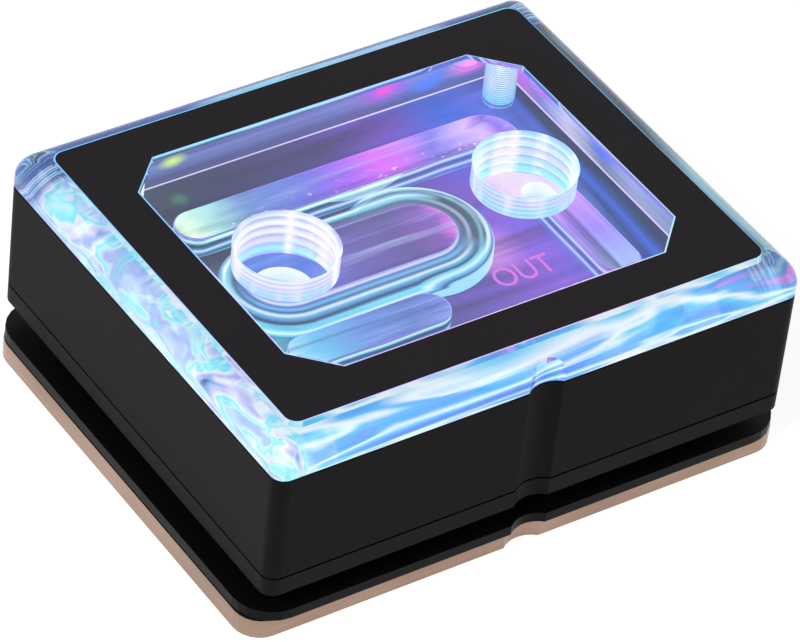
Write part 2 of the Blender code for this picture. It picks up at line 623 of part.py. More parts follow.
def make_acrylic_top(looks):
    """Clear top: slab and block in one, milled from both sides."""
    top = slab("acrylic_top", [rectangle(BODY_WIDTH, BODY_DEPTH, BODY_CORNER)], TOP_BOTTOM, TOP)
    combine(top, rounded_ridge("round_over_x", BODY_WIDTH, BODY_DEPTH + 2 * THROUGH, False), 'INTERSECT')
    combine(top, rounded_ridge("round_over_y", BODY_DEPTH, BODY_WIDTH + 2 * THROUGH, True), 'INTERSECT')
    block_outline = rectangle(BLOCK_WIDTH, BLOCK_DEPTH, BLOCK_CORNER)
    block = slab("block", [block_outline], BLOCK_BOTTOM, TOP_BOTTOM + TOP_THICK / 3, CUTTERS)
    combine(top, block, 'UNION')
    cut_notch(top, BODY_FRONT, TOP_BOTTOM, TOP)
    cut_cover_pocket(top)
    cut_ports(top)
    cut_channels(top)
    for number, (x, y) in enumerate(corner_places()):
        cut_slab(top, f"screw_hole_{number + 1}", circle(x, y, SCREW_HOLE, SCREW_STEPS),
                 BLOCK_BOTTOM - THROUGH, POCKET_FLOOR + COVER_THICK / 2)
    finish(top, looks["clear"], 30)


def cover_outline(grow=0.0):
    return rectangle(COVER_WIDTH + 2 * grow, COVER_DEPTH + 2 * grow, COVER_CORNER + grow)


def window_outline(grow=0.0):
    """Eight-sided window. The chamfers keep their angle when it grows."""
    chamfer = WINDOW_CHAMFER + grow * (2 - math.sqrt(2))
    width = COVER_WIDTH - 2 * COVER_BAND_X
    depth = COVER_DEPTH - 2 * COVER_BAND_Y
    return rectangle(width + 2 * grow, depth + 2 * grow, chamfer, 1)


def cut_cover_pocket(top):
    pocket = slab("cover_pocket", [cover_outline(COVER_FIT), window_outline(-COVER_FIT)],
                  POCKET_FLOOR, TOP + THROUGH, CUTTERS)
    combine(top, pocket)


def cut_ports(top):
    """Two G1/4 ports with their passages down to the channels."""
    for name, x in (("inlet", -PORT_X), ("outlet", PORT_X)):
        cut_slab(top, f"{name}_port", circle(x, 0, PORT_RADIUS, 2 * CIRCLE_STEPS), PORT_FLOOR, TOP + THROUGH)
        cut_cone(top, f"{name}_chamfer", (x, 0), PORT_RADIUS - PORT_CHAMFER, PORT_RADIUS + 2 * PORT_CHAMFER,
                 TOP - 2 * PORT_CHAMFER, TOP + PORT_CHAMFER)
    middle = (PORT_FLOOR + CHANNEL_CEILING) / 2
    cut_slab(top, "inlet_bore", circle(-PORT_X, 0, INLET_BORE_RADIUS), middle - CHANNEL_DEPTH / 2,
             PORT_FLOOR + THROUGH)
    drop = rectangle(OUTLET_DROP_WIDTH, OUTLET_DROP_LENGTH, OUTLET_DROP_WIDTH / 2.01, ARC_STEPS,
                     (OUTLET_DROP_X, 0))
    cut_slab(top, "outlet_drop", drop, middle - CHANNEL_DEPTH / 2, PORT_FLOOR + THROUGH)


def cut_channels(top):
    """Inlet chamber, outlet channel and front channel, milled from below."""
    low = BLOCK_BOTTOM - THROUGH
    cut_slab(top, "outlet_channel", outlet_channel(), low, CHANNEL_CEILING)
    front = capsule(CHANNEL_LEFT, FRONT_CHANNEL_RIGHT, FRONT_CHANNEL_Y, CHANNEL_WIDTH)
    cut_slab(top, "front_channel", front, low, CHANNEL_CEILING)
    chamber = cut_slab(top, "inlet_chamber", inlet_chamber(), low, BLOCK_BOTTOM + CHAMBER_DEPTH)
    round_edges(chamber, BLOCK_BOTTOM + CHAMBER_DEPTH, CHAMBER_FILLET, 4)
    half = INLET_CHANNEL_WIDTH / 2
    inlet = capsule(-PORT_X - half, CHAMBER_X + half, 0, INLET_CHANNEL_WIDTH)
    cut_slab(top, "inlet_channel", inlet, low, BLOCK_BOTTOM + INLET_CHANNEL_DEPTH)


def make_cover_frame(looks):
    """Black frame flush in the clear top, with the eight-sided window."""
    cover = slab("cover_frame", [cover_outline(), window_outline()], TOP - COVER_THICK, TOP)
    finish(cover, looks["cover"])


def make_led_strip(looks):
    """Flexible board that runs round the clear block and carries the lamps."""
    inner = WALL_CLEAR - GAP - STRIP_THICK
    outlines = [rectangle(BLOCK_WIDTH + 2 * reach, BLOCK_DEPTH + 2 * reach, BLOCK_CORNER + reach)
                for reach in (inner + STRIP_THICK, inner)]
    strip = slab("led_strip", outlines, LED_LEVEL - STRIP_HEIGHT / 2, LED_LEVEL + STRIP_HEIGHT / 2)
    finish(strip, looks["board"])


def led_row(length, start):
    """Places along one side of the clear block, at the strip's pitch, from the block's middle."""
    count = int((length - start - LED_END) / LED_PITCH) + 1
    return [start - length / 2 + number * LED_PITCH for number in range(count)]


def led_places():
    """Middle of each lamp's outer face and the way it shines, as an angle about Z."""
    reach_x = BLOCK_WIDTH / 2 + GAP + LED_THICK
    reach_y = BLOCK_DEPTH / 2 + GAP + LED_THICK
    places = []
    for along in led_row(BLOCK_WIDTH, LED_BACK_START):
        places.append((along, reach_y, 180))
        places.append((along, -reach_y, 0))
    for along in led_row(BLOCK_DEPTH, LED_SIDE_START):
        places.append((reach_x, along, 90))
        places.append((-reach_x, along, 270))
    return places


def make_leds(looks):
    """Small square lamps with a shallow round lens recess."""
    for number, (x, y, turn) in enumerate(led_places()):
        name = f"led_{number + 1:02d}"
        lamp = slab(name, [rectangle(LED_WIDTH, LED_HEIGHT, LED_HEIGHT / 10, 1)], 0, LED_THICK)
        lamp.data.transform(lamp.matrix_world)
        cutter = slab(name + "_lens", [circle(0, 0, LED_LENS_RADIUS, 16)], LED_THICK - LED_LENS_DEPTH,
                      LED_THICK + THROUGH, CUTTERS)
        cutter.data.transform(cutter.matrix_world)
        for item in (lamp, cutter):
            item.location = (x, y, LED_LEVEL)
            item.rotation_euler = (-math.pi / 2, 0, math.radians(turn))
        combine(lamp, cutter)
        finish(lamp, looks["lamp"])


def make_screw(name, centre, shank, head, tip, looks):
    """Countersunk screw with its head in the contact face and its point up."""
    bottom = GAP
    cone_top = bottom + head - shank
    profile = [(0, tip), (shank - TIP_CHAMFER, tip), (shank, tip - TIP_CHAMFER), (shank, cone_top),
               (head, bottom), (0, bottom)]
    screw = turned(name, profile, centre, steps=SCREW_STEPS)
    socket = slab(name + "_socket", [circle(*centre, 0.62 * shank, 6)], bottom - THROUGH,
                  bottom + SOCKET_DEPTH, CUTTERS)
    combine(screw, socket)
    finish(screw, looks["steel"])


def make_screws(looks):
    for number, centre in enumerate(corner_places()):
        make_screw(f"screw_{number + 1}", centre, CORNER_SHANK, CORNER_HEAD, BLOCK_BOTTOM + CORNER_REACH, looks)
    for number, centre in enumerate(base_screw_places()):
        make_screw(f"base_screw_{number + 1}", centre, BASE_SHANK, BASE_HEAD, FLANGE_BOTTOM + BASE_REACH, looks)


def main():
    start_scene()
    looks = make_materials()
    make_cold_plate(looks)
    make_mount_flange(looks)
    make_base_frame(looks)
    make_seals(looks)
    make_jet_plate(looks)
    make_flow_guide(looks)
    make_housing(looks)
    make_led_strip(looks)
    make_leds(looks)
    make_acrylic_top(looks)
    make_cover_frame(looks)
    make_screws(looks)
    add_booleans()


main()
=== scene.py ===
"""Looks for the CPU water block: a lit clear top in a black body on a copper base.

Metres, +Z up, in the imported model's frame: the origin is the middle of the contact face, the
inlet port stands at -X and the outlet port at +X, and the photograph looks from the front left.
"""
import math

import bmesh
import bpy
from mathutils import Matrix, Vector


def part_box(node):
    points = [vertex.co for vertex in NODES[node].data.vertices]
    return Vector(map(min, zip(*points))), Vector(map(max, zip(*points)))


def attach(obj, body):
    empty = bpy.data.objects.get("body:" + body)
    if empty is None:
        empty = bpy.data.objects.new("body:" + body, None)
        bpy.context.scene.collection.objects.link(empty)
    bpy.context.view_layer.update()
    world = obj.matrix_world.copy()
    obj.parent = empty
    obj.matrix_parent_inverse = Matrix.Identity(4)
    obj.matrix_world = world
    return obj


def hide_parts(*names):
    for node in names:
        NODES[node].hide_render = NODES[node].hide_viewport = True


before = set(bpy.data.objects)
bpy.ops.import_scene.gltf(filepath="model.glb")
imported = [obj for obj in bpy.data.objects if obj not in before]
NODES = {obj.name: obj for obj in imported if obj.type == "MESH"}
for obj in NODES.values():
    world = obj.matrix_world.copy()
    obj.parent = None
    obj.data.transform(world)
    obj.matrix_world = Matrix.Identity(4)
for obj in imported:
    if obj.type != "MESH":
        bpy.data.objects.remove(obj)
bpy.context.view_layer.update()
MM = 0.001


def corners(node):
    """A CAD node's lowest and highest corners, to the micrometre."""
    return [[round(value, 6) for value in corner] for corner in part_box(node)]


def footprint(node):
    """A CAD node's width and depth."""
    low, high = corners(node)
    return high[0] - low[0], high[1] - low[1]


def middle(node):
    """The middle of a CAD node's footprint."""
    low, high = corners(node)
    return (low[0] + high[0]) / 2, (low[1] + high[1]) / 2


# Sizes that the frame gives, and the clearances between them
GAP = 0.3 * MM                 # between faces that touch
BODY = footprint("acrylic_top")
BLOCK_BOTTOM = corners("acrylic_top")[0][2]
TOP = corners("acrylic_top")[1][2]
TOP_BOTTOM = corners("housing")[1][2] + GAP
COVER = footprint("cover_frame")
POCKET_FLOOR = corners("cover_frame")[0][2] - GAP
STRIP_STANDOFF = 2.0 * MM      # from the clear block's sides to the lamp board's outer face
BLOCK = tuple(side - 2 * STRIP_STANDOFF for side in footprint("led_strip"))
SCREW_PLACES = [middle(f"screw_{number}") for number in range(1, 5)]

# Sizes of the clear top, as in the part's source
BODY_CORNER = 1.8 * MM
BLOCK_CORNER = 1.5 * MM
ROUND_OVER = 3.8 * MM
NOTCH_RADIUS = 3.9 * MM
NOTCH_WIDTH = 5.0 * MM
COVER_CORNER = 1.6 * MM
COVER_FIT = 0.2 * MM           # round the cover frame in its pocket
COVER_BAND = (5.825 * MM, 5.75 * MM)
WINDOW = (COVER[0] - 2 * COVER_BAND[0], COVER[1] - 2 * COVER_BAND[1])
WINDOW_CHAMFER = 5.1 * MM
PORT_X = BLOCK[0] / 2 - 14.1 * MM
PORT_RADIUS = 6.58 * MM        # G1/4, largest thread diameter 13.16 mm
PORT_FLOOR = TOP - 6.6 * MM
BORE_RADIUS = 3.9 * MM
CHANNEL_WIDTH = 5.65 * MM
CHANNEL_CORNER = 4.5 * MM
CHANNEL_CEILING = BLOCK_BOTTOM + 5.5 * MM
CHANNEL_LEFT = -BLOCK[0] / 2 + 7.1 * MM
CHANNEL_RIGHT = BLOCK[0] / 2 - 7.2 * MM
CHANNEL_BACK = BLOCK[1] / 2 - 8.45 * MM
CHANNEL_END = -BLOCK[1] / 2 + 6.5 * MM
FRONT_CHANNEL_Y = -BLOCK[1] / 2 + 9.0 * MM + CHANNEL_WIDTH / 2
FRONT_CHANNEL_RIGHT = -1.9 * MM
INLET_WIDTH = 9.5 * MM
INLET_CEILING = BLOCK_BOTTOM + 6.1 * MM
CHAMBER_X = 2.1 * MM
CHAMBER_RADIUS = 9.4 * MM
CHAMBER_NECK = 16.0 * MM
CHAMBER_CEILING = BLOCK_BOTTOM + 5.1 * MM
CHAMBER_FILLET = 2.6 * MM
DROP_X = CHANNEL_RIGHT - 3.4 * MM
DROP = (4.0 * MM, 6.6 * MM)
SCREW_HOLE = 2.1 * MM

# Detail that only the visual model has
EDGE = 0.35 * MM               # rounding of the milled channels' edges
BLOCK_EDGE = 0.2 * MM          # rounding of the clear block's lower edge
THREAD_PITCH = 1.337 * MM      # G1/4
THREAD_DEPTH = 0.55 * MM
PORT_MOUTH = 0.1 * MM          # how far the ports' threads open at the top
MOUTH_HEIGHT = 0.35 * MM
SCREW_PITCH = 0.7 * MM
SCREW_DEPTH = 0.25 * MM
SCREW_THREAD_BOTTOM = BLOCK_BOTTOM + 1.2 * MM
SCREW_TOP = POCKET_FLOOR + 0.5 * MM
SHANK_HOLE = 2.04 * MM         # the hole below the corner screws' threads
LINE_DROP = 0.08 * MM          # of the bright edge lines below the top face
CREST_HALF = 0.38              # a thread's crest, from its middle, as a share of the pitch
CREST_SLOPE = 1.25             # above 1, so that the crest is cut flat
RUN_OUT_TOP = 0.6              # turns over which a thread fades at its upper end
RUN_OUT_BOTTOM = 0.3           # turns over which it grows at its lower end
FIRST_CUT = 0.15               # the share of its depth that it starts with there

PAST = 1.0 * MM                # how far a cutter reaches past a face
OVERLAP = 1.5 * MM             # of the block into the slab, before they are joined
CLOSE = 0.01 * MM              # for faces and points that lie at a level
NEAR = 0.1 * MM                # for faces that lie along a wall or an edge
STEEP = 0.5                    # a face whose normal rises less than this is a wall
FLAT = 0.9                     # and one whose normal rises more than this is flat
ARC_STEPS = 12
CORNERS = [(1, 1), (-1, 1), (-1, -1), (1, -1)]
WHITE = (1, 1, 1, 1)
ACRYLIC_IOR = 1.49


def srgb(red, green, blue):
    """A colour as it looks on screen, 0 to 255, in linear light."""
    made = []
    for value in (red, green, blue):
        value /= 255
        made.append(value / 12.92 if value <= 0.04045 else ((value + 0.055) / 1.055) ** 2.4)
    return (*made, 1.0)


# ---- outlines and solids

def arc(centre_x, centre_y, radius, start, end, steps=ARC_STEPS):
    """Points along an arc, both ends included, angles in degrees."""
    points = []
    for step in range(steps + 1):
        angle = math.radians(start + (end - start) * step / steps)
        points.append((centre_x + radius * math.cos(angle), centre_y + radius * math.sin(angle)))
    return points


def circle(centre_x, centre_y, radius, steps=8 * ARC_STEPS):
    return arc(centre_x, centre_y, radius, 0, 360, steps)[:-1]


def rectangle(width, depth, corner, steps=ARC_STEPS, centre=(0.0, 0.0)):
    """A rectangle with round corners, or with flat chamfers when steps is 1."""
    points = []
    for (side_x, side_y), start in zip(CORNERS, (0, 90, 180, 270)):
        points += arc(centre[0] + side_x * (width / 2 - corner),
                      centre[1] + side_y * (depth / 2 - corner), corner, start, start + 90, steps)
    return points


def capsule(left, right, centre_y, width, steps=2 * ARC_STEPS):
    """A slot with round ends along X."""
    radius = width / 2
    return (arc(right - radius, centre_y, radius, -90, 90, steps)
            + arc(left + radius, centre_y, radius, 90, 270, steps))


def outlet_channel():
    """The L-shaped channel along the back and down the right side."""
    radius = CHANNEL_WIDTH / 2
    inner = 0.25 * CHANNEL_WIDTH
    inner_x = CHANNEL_RIGHT - CHANNEL_WIDTH - inner
    inner_y = CHANNEL_BACK - CHANNEL_WIDTH - inner
    outer_x, outer_y = CHANNEL_RIGHT - CHANNEL_CORNER, CHANNEL_BACK - CHANNEL_CORNER
    return (arc(CHANNEL_LEFT + radius, CHANNEL_BACK - radius, radius, 90, 270, 2 * ARC_STEPS)
            + arc(inner_x, inner_y, inner, 90, 0)
            + arc(CHANNEL_RIGHT - radius, CHANNEL_END + radius, radius, 180, 360, 2 * ARC_STEPS)
            + arc(outer_x, outer_y, CHANNEL_CORNER, 0, 90))


def inlet_chamber():
    """A round chamber with a wide neck that reaches round the inlet port."""
    half = CHAMBER_NECK / 2
    turn = math.degrees(math.asin(half / CHAMBER_RADIUS))
    return (arc(CHAMBER_X, 0, CHAMBER_RADIUS, turn - 180, 180 - turn, 6 * ARC_STEPS)
            + arc(-PORT_X, 0, half, 90, 270, 3 * ARC_STEPS))


def cover_outline(grow=0.0):
    return rectangle(COVER[0] + 2 * grow, COVER[1] + 2 * grow, COVER_CORNER + grow)


def window_outline(grow=0.0):
    """The eight-sided window. The chamfers keep their angle when it grows."""
    chamfer = WINDOW_CHAMFER + grow * (2 - math.sqrt(2))
    return rectangle(WINDOW[0] + 2 * grow, WINDOW[1] + 2 * grow, chamfer, 1)


def pocket_island():
    """The window's edge in the pocket, with as many points as the cover's outline."""
    ends = window_outline(-COVER_FIT)
    points = []
    for first, last in zip(ends[::2], ends[1::2]):
        for step in range(ARC_STEPS + 1):
            share = step / ARC_STEPS
            points.append((first[0] + (last[0] - first[0]) * share,
                           first[1] + (last[1] - first[1]) * share))
    return points


def show(name, mesh):
    made = bpy.data.objects.new(name, mesh)
    bpy.context.scene.collection.objects.link(made)
    return made


def mesh_from(work, name):
    mesh = bpy.data.meshes.new(name)
    bmesh.ops.recalc_face_normals(work, faces=work.faces)
    work.to_mesh(mesh)
    work.free()
    return show(name, mesh)


def join_loops(work, low, high):
    """Faces between two closed loops of points, one for each pair."""
    for number in range(len(low)):
        after = (number + 1) % len(low)
        work.faces.new((low[number], low[after], high[after], high[number]))


def lofted(name, rings):
    """A closed solid over rings of points, all with the same number of points."""
    work = bmesh.new()
    loops = [[work.verts.new(point) for point in ring] for ring in rings]
    for low, high in zip(loops, loops[1:]):
        join_loops(work, low, high)
    work.faces.new(loops[0])
    work.faces.new(loops[-1])
    return mesh_from(work, name)


def prism(name, outline, bottom, top, top_edge=0.0, bottom_edge=0.0):
    """A straight solid over one outline, with its end edges rounded where asked."""
    made = lofted(name, [[(x, y, z) for x, y in outline] for z in (bottom, top)])
    for level, radius in ((top, top_edge), (bottom, bottom_edge)):
        if radius:
            work = bmesh.new()
            work.from_mesh(made.data)
            rim = [edge for edge in work.edges
                   if all(abs(vertex.co.z - level) < CLOSE for vertex in edge.verts)]
            bmesh.ops.bevel(work, geom=rim, offset=radius, segments=6, profile=0.5,
                            affect='EDGES', clamp_overlap=True)
            work.to_mesh(made.data)
            work.free()
    return made


def ring_prism(name, outer, inner, bottom, top):
    """A flat ring between two outlines, closed top and bottom."""
    work = bmesh.new()
    outer_low, outer_high, inner_low, inner_high = (
        [work.verts.new((x, y, z)) for x, y in outline]
        for outline in (outer, inner) for z in (bottom, top))
    for low, high in ((outer_low, outer_high), (inner_low, inner_high),
                      (outer_low, inner_low), (outer_high, inner_high)):
        join_loops(work, low, high)
    return mesh_from(work, name)


def change(target, cutters, operation):
    """Joins the cutters in one Boolean and applies it."""
    group = bpy.data.collections.new(target.name + operation)
    for cutter in cutters:
        group.objects.link(cutter)
    step = target.modifiers.new(operation, 'BOOLEAN')
    step.operand_type = 'COLLECTION'
    step.collection = group
    step.operation = operation
    step.solver = 'EXACT'
    depsgraph = bpy.context.evaluated_depsgraph_get()
    mesh = bpy.data.meshes.new_from_object(target.evaluated_get(depsgraph))
    target.modifiers.clear()
    old = target.data
    target.data = mesh
    bpy.data.meshes.remove(old)
    for cutter in cutters:
        bpy.data.objects.remove(cutter)
    bpy.data.collections.remove(group)


def smooth(piece, angle):
    piece.data.shade_smooth()
    piece.data.set_sharp_from_angle(angle=math.radians(angle))


# ---- materials

NOISE_RANGE = (0.3, 0.7)       # where nearly all of the noise lies

# Half-lengths over which the lamps' colours run, from the middle of the block
CHANNEL_RUN = 25.0 * MM
BLOCK_RUN = 31.0 * MM
EDGE_RUN = (32.0 * MM, 26.0 * MM)
STRIP_RUN = (33.0 * MM, 26.0 * MM)


class Look:
    """A node material with a few helpers. Plain values stay on the shader's own sockets."""

    def __init__(self, name, **values):
        self.material = bpy.data.materials.new(name)
        self.material.use_nodes = True
        self.tree = self.material.node_tree
        self.shader = self.tree.nodes["Principled BSDF"]
        self.place = None
        self.set(self.shader, **values)

    @staticmethod
    def set(node, **values):
        """Sets a node's sockets by name, with _ for each space."""
        for key, value in values.items():
            node.inputs[key.replace("_", " ")].default_value = value

    def node(self, kind, **values):
        made = self.tree.nodes.new(kind)
        for key, value in values.items():
            setattr(made, key, value)
        return made

    def join(self, source, target):
        self.tree.links.new(source, target)

    def to(self, name, source):
        self.join(source, self.shader.inputs[name])

    def coords(self):
        if self.place is None:
            self.place = self.node("ShaderNodeTexCoord").outputs["Object"]
        return self.place

    def axis(self, name):
        split = self.node("ShaderNodeSeparateXYZ")
        self.join(self.coords(), split.inputs[0])
        return split.outputs[name]

    def noise(self, scale, detail=3.0, rough=0.5, distortion=0.0):
        """Noise with its own scale along each axis. A low scale gives long streaks."""
        stretch = self.node("ShaderNodeMapping")
        self.set(stretch, Scale=scale)
        self.join(self.coords(), stretch.inputs["Vector"])
        made = self.node("ShaderNodeTexNoise")
        self.set(made, Scale=1.0, Detail=detail, Roughness=rough, Distortion=distortion)
        self.join(stretch.outputs[0], made.inputs["Vector"])
        return made.outputs["Fac"]

    def spread(self, noise, low=0.0, high=1.0):
        """Noise stretched over low to high."""
        return self.fit(noise, *NOISE_RANGE, low, high)

    def waver(self, reach, scale, *rest, **more):
        """Noise that swings by reach about 0."""
        return self.spread(self.noise(scale, *rest, **more), -reach, reach)

    def run(self, place, half):
        """0 at one end of a run of colour to 1 at the other."""
        return self.fit(place, -half, half)

    def maths(self, operation, *values):
        made = self.node("ShaderNodeMath", operation=operation)
        for socket, value in zip(made.inputs, values):
            if isinstance(value, (int, float)):
                socket.default_value = value
            else:
                self.join(value, socket)
        return made.outputs[0]

    def plus(self, first, second):
        return self.maths('ADD', first, second)

    def times(self, first, second):
        return self.maths('MULTIPLY', first, second)

    def fit(self, value, low, high, to_low=0.0, to_high=1.0, interpolation='LINEAR'):
        """Moves the range low to high on the range to_low to to_high, and stops at its ends."""
        made = self.node("ShaderNodeMapRange", interpolation_type=interpolation)
        self.set(made, From_Min=low, From_Max=high, To_Min=to_low, To_Max=to_high)
        self.join(value, made.inputs["Value"])
        return made.outputs["Result"]

    def band(self, value, stops, ease='LINEAR'):
        """Colours by value, from (place, linear colour) stops."""
        made = self.node("ShaderNodeValToRGB")
        band = made.color_ramp
        band.interpolation = ease
        while len(band.elements) < len(stops):
            band.elements.new(0.5)
        for element, (place, colour) in zip(band.elements, stops):
            element.position = place
            element.color = colour
        self.join(value, made.inputs["Fac"])
        return made.outputs["Color"]

    def ramp(self, value, *stops, ease='LINEAR'):
        """Colours by value, from (place, red, green, blue) stops with colours of 0 to 255."""
        return self.band(value, [(place, srgb(*colour)) for place, *colour in stops], ease)

    def levels(self, value, *stops):
        """Numbers by value, from (place, number) stops."""
        return self.band(value, [(place, (level, level, level, 1)) for place, level in stops])

    def mix(self, share, first, second, way='MIX'):
        made = self.node("ShaderNodeMix", data_type='RGBA', blend_type=way)
        # Inputs 0, 6 and 7 are the share and the two colours
        for number, value in ((0, share), (6, first), (7, second)):
            if isinstance(value, (float, tuple)):
                made.inputs[number].default_value = value
            else:
                self.join(value, made.inputs[number])
        return made.outputs[2]

    def spot(self, centre, radius):
        """1 at a place, falling to 0 at the radius."""
        made = self.node("ShaderNodeVectorMath", operation='DISTANCE')
        self.join(self.coords(), made.inputs[0])
        made.inputs[1].default_value = centre
        return self.fit(made.outputs["Value"], 0.0, radius, 1.0, 0.0, 'SMOOTHSTEP')

    def stored(self, name):
        """A value kept on the mesh's points."""
        return self.node("ShaderNodeAttribute", attribute_name=name).outputs["Fac"]

    def bump(self, height, strength, distance):
        made = self.node("ShaderNodeBump")
        self.set(made, Strength=strength, Distance=distance)
        self.join(height, made.inputs["Height"])
        self.to("Normal", made.outputs[0])

    def glow(self, colour, strength):
        """Light that the surface gives off or scatters. Returns the finished material."""
        if isinstance(colour, tuple):
            self.set(self.shader, Emission_Color=colour)
        else:
            self.to("Emission Color", colour)
        self.set(self.shader, Emission_Strength=strength)
        return self.material


def copper_look():
    """Plated copper, brushed along the edge: fine layers over soft clouds."""
    look = Look("copper_brushed", Metallic=1.0, Roughness=0.3)
    grain = look.noise((40, 40, 5200), 4.0, 0.6)
    cloud = look.noise((60, 60, 60), 2.0)
    tone = look.mix(look.spread(cloud), srgb(158, 134, 119), srgb(176, 150, 134))
    tone = look.mix(look.spread(grain, 0.0, 0.45), tone, srgb(120, 97, 83))
    look.to("Base Color", tone)
    look.to("Roughness", look.fit(grain, 0.25, 0.75, 0.24, 0.42))
    look.bump(grain, 0.12, 0.02 * MM)
    return look.material


def steel_look():
    look = Look("steel_turned", Metallic=1.0, Roughness=0.3)
    grain = look.noise((900, 900, 60))
    look.to("Base Color", look.mix(look.spread(grain), srgb(165, 165, 170), srgb(205, 205, 208)))
    look.to("Roughness", look.spread(grain, 0.22, 0.36))
    return look.material


def black_look(name, colour, rough, grain, level):
    """Black acetal, rubber or coated metal with a fine even grain and faint clouds."""
    look = Look(name, Roughness=rough, Specular_IOR_Level=level)
    fine = look.noise((grain, grain, grain), 2.0)
    cloud = look.noise((90, 90, 90))
    dark = tuple(0.86 * value for value in colour)
    look.to("Base Color", look.mix(look.spread(cloud), (*dark, 1.0), (*colour, 1.0)))
    look.to("Roughness", look.spread(fine, rough - 0.06, rough + 0.06))
    look.bump(fine, 0.25, 0.01 * MM)
    return look


def housing_look():
    """Black acetal outside, and the lamps' light on the walls and floor of the recess."""
    lit_x, lit_y, lit_bottom = 33.85 * MM, 26.95 * MM, 14.0 * MM
    look = black_look("housing_acetal", (0.0105, 0.0088, 0.0095), 0.5, 9000.0, 0.05)
    inside = look.times(look.maths('LESS_THAN', look.maths('ABSOLUTE', look.axis("X")), lit_x),
                        look.maths('LESS_THAN', look.maths('ABSOLUTE', look.axis("Y")), lit_y))
    inside = look.times(inside, look.maths('GREATER_THAN', look.axis("Z"), lit_bottom))
    colour = look.ramp(look.fit(look.axis("Z"), 14.9 * MM, 25.1 * MM),
                       (0.0, 70, 80, 150), (0.5, 120, 160, 230), (1.0, 90, 110, 200))
    return look.glow(look.mix(inside, (0, 0, 0, 1), colour), 0.35)


def clear_look(name, tint=WHITE, clear=1.0, rough=0.0):
    """Clear acrylic. Below 1, clear is the share of light that goes through the face."""
    return Look(name, Base_Color=tint, Transmission_Weight=clear, Roughness=rough,
                IOR=ACRYLIC_IOR, Specular_IOR_Level=0.16)


def ceiling_look():
    """The flat ends of the milled channels: painted runs of the lamps' light, and streaks of
    painted light and shade.
    """
    look = clear_look("channel_ceiling", srgb(40, 42, 70), 0.25, 0.1)
    x, y = look.axis("X"), look.axis("Y")
    along = look.plus(look.run(x, CHANNEL_RUN),
                      look.waver(0.035, (55, 160, 40), distortion=1.2))
    back = look.ramp(along, (0.0, 150, 200, 170), (0.05, 222, 255, 222), (0.13, 165, 225, 218),
                     (0.22, 100, 140, 200), (0.4, 95, 105, 215), (0.5, 150, 90, 235),
                     (0.6, 215, 95, 250), (0.68, 190, 110, 245), (0.76, 120, 115, 225),
                     (0.88, 215, 180, 250), (0.93, 130, 100, 225), (1.0, 185, 155, 250))
    inlet = look.ramp(along, (0.0, 90, 140, 215), (0.18, 95, 115, 205), (0.32, 100, 90, 175),
                      (0.48, 92, 78, 150), (0.58, 125, 80, 180), (0.64, 225, 120, 225),
                      (0.7, 120, 110, 215))
    front = look.ramp(along, (0.0, 170, 235, 250), (0.08, 100, 190, 230), (0.2, 95, 140, 215),
                      (0.35, 85, 115, 190), (0.47, 115, 130, 225))
    arm = look.ramp(look.fit(y, -18 * MM, 10 * MM), (0.0, 160, 190, 240), (0.3, 150, 130, 245),
                    (0.6, 205, 140, 250), (1.0, 190, 235, 250))
    colour = look.mix(look.fit(y, -9 * MM, -6 * MM), front, inlet)
    colour = look.mix(look.fit(y, 6 * MM, 9.6 * MM), colour, back)
    colour = look.mix(look.fit(x, 16.5 * MM, 18.5 * MM), colour, back)
    on_arm = look.times(look.fit(x, 18 * MM, 19.5 * MM), look.fit(y, 11 * MM, 9 * MM))
    colour = look.mix(on_arm, colour, arm)

    # Streaks of painted shade and painted light, turned along Y on the right-hand arm
    turned = look.times(look.fit(x, 17.5 * MM, 19 * MM), look.fit(y, 12 * MM, 9 * MM))
    streaks = look.mix(turned, look.noise((22, 380, 60), 4.0, 0.6, distortion=0.4),
                       look.noise((420, 20, 60), 4.0, 0.6, distortion=0.4))
    colour = look.mix(look.fit(streaks, 0.5, 0.72, 0.0, 0.75), colour, srgb(50, 50, 105))
    colour = look.mix(look.fit(streaks, 0.42, 0.26, 0.0, 0.55), colour, srgb(190, 205, 250))

    # A row of painted glints on the back channel's front edge
    painted_glints = look.fit(look.noise((900, 1500, 300), 2.0), 0.62, 0.72)
    painted_glints = look.times(painted_glints, look.fit(y, 13.2 * MM, 10.6 * MM))
    painted_glints = look.times(painted_glints, look.fit(y, 9 * MM, 10.4 * MM))
    return look.glow(look.mix(painted_glints, colour, srgb(250, 215, 250)), 1.05)


def wall_look():
    """The channels' upright walls and rounded edges: lines of light that run along them."""
    look = clear_look("channel_wall", srgb(70, 85, 110), 0.5, 0.03)
    height = look.plus(look.fit(look.axis("Z"), BLOCK_BOTTOM, INLET_CEILING),
                       look.waver(0.06, (60, 60, 20), 2.0))
    bands = look.ramp(height, (0.0, 120, 200, 240), (0.1, 20, 40, 70), (0.2, 70, 170, 230),
                      (0.31, 215, 250, 255), (0.38, 70, 130, 200), (0.5, 22, 34, 52),
                      (0.6, 30, 60, 80), (0.68, 110, 225, 245), (0.76, 235, 252, 255),
                      (0.83, 90, 120, 200), (0.92, 150, 120, 225), (1.0, 60, 60, 130))
    pink = look.mix(1.0, bands, srgb(225, 170, 250), 'MULTIPLY')
    pink_share = look.fit(look.axis("X"), -4 * MM, 22 * MM, 0.0, 0.45)
    return look.glow(look.mix(pink_share, bands, pink), 0.85)


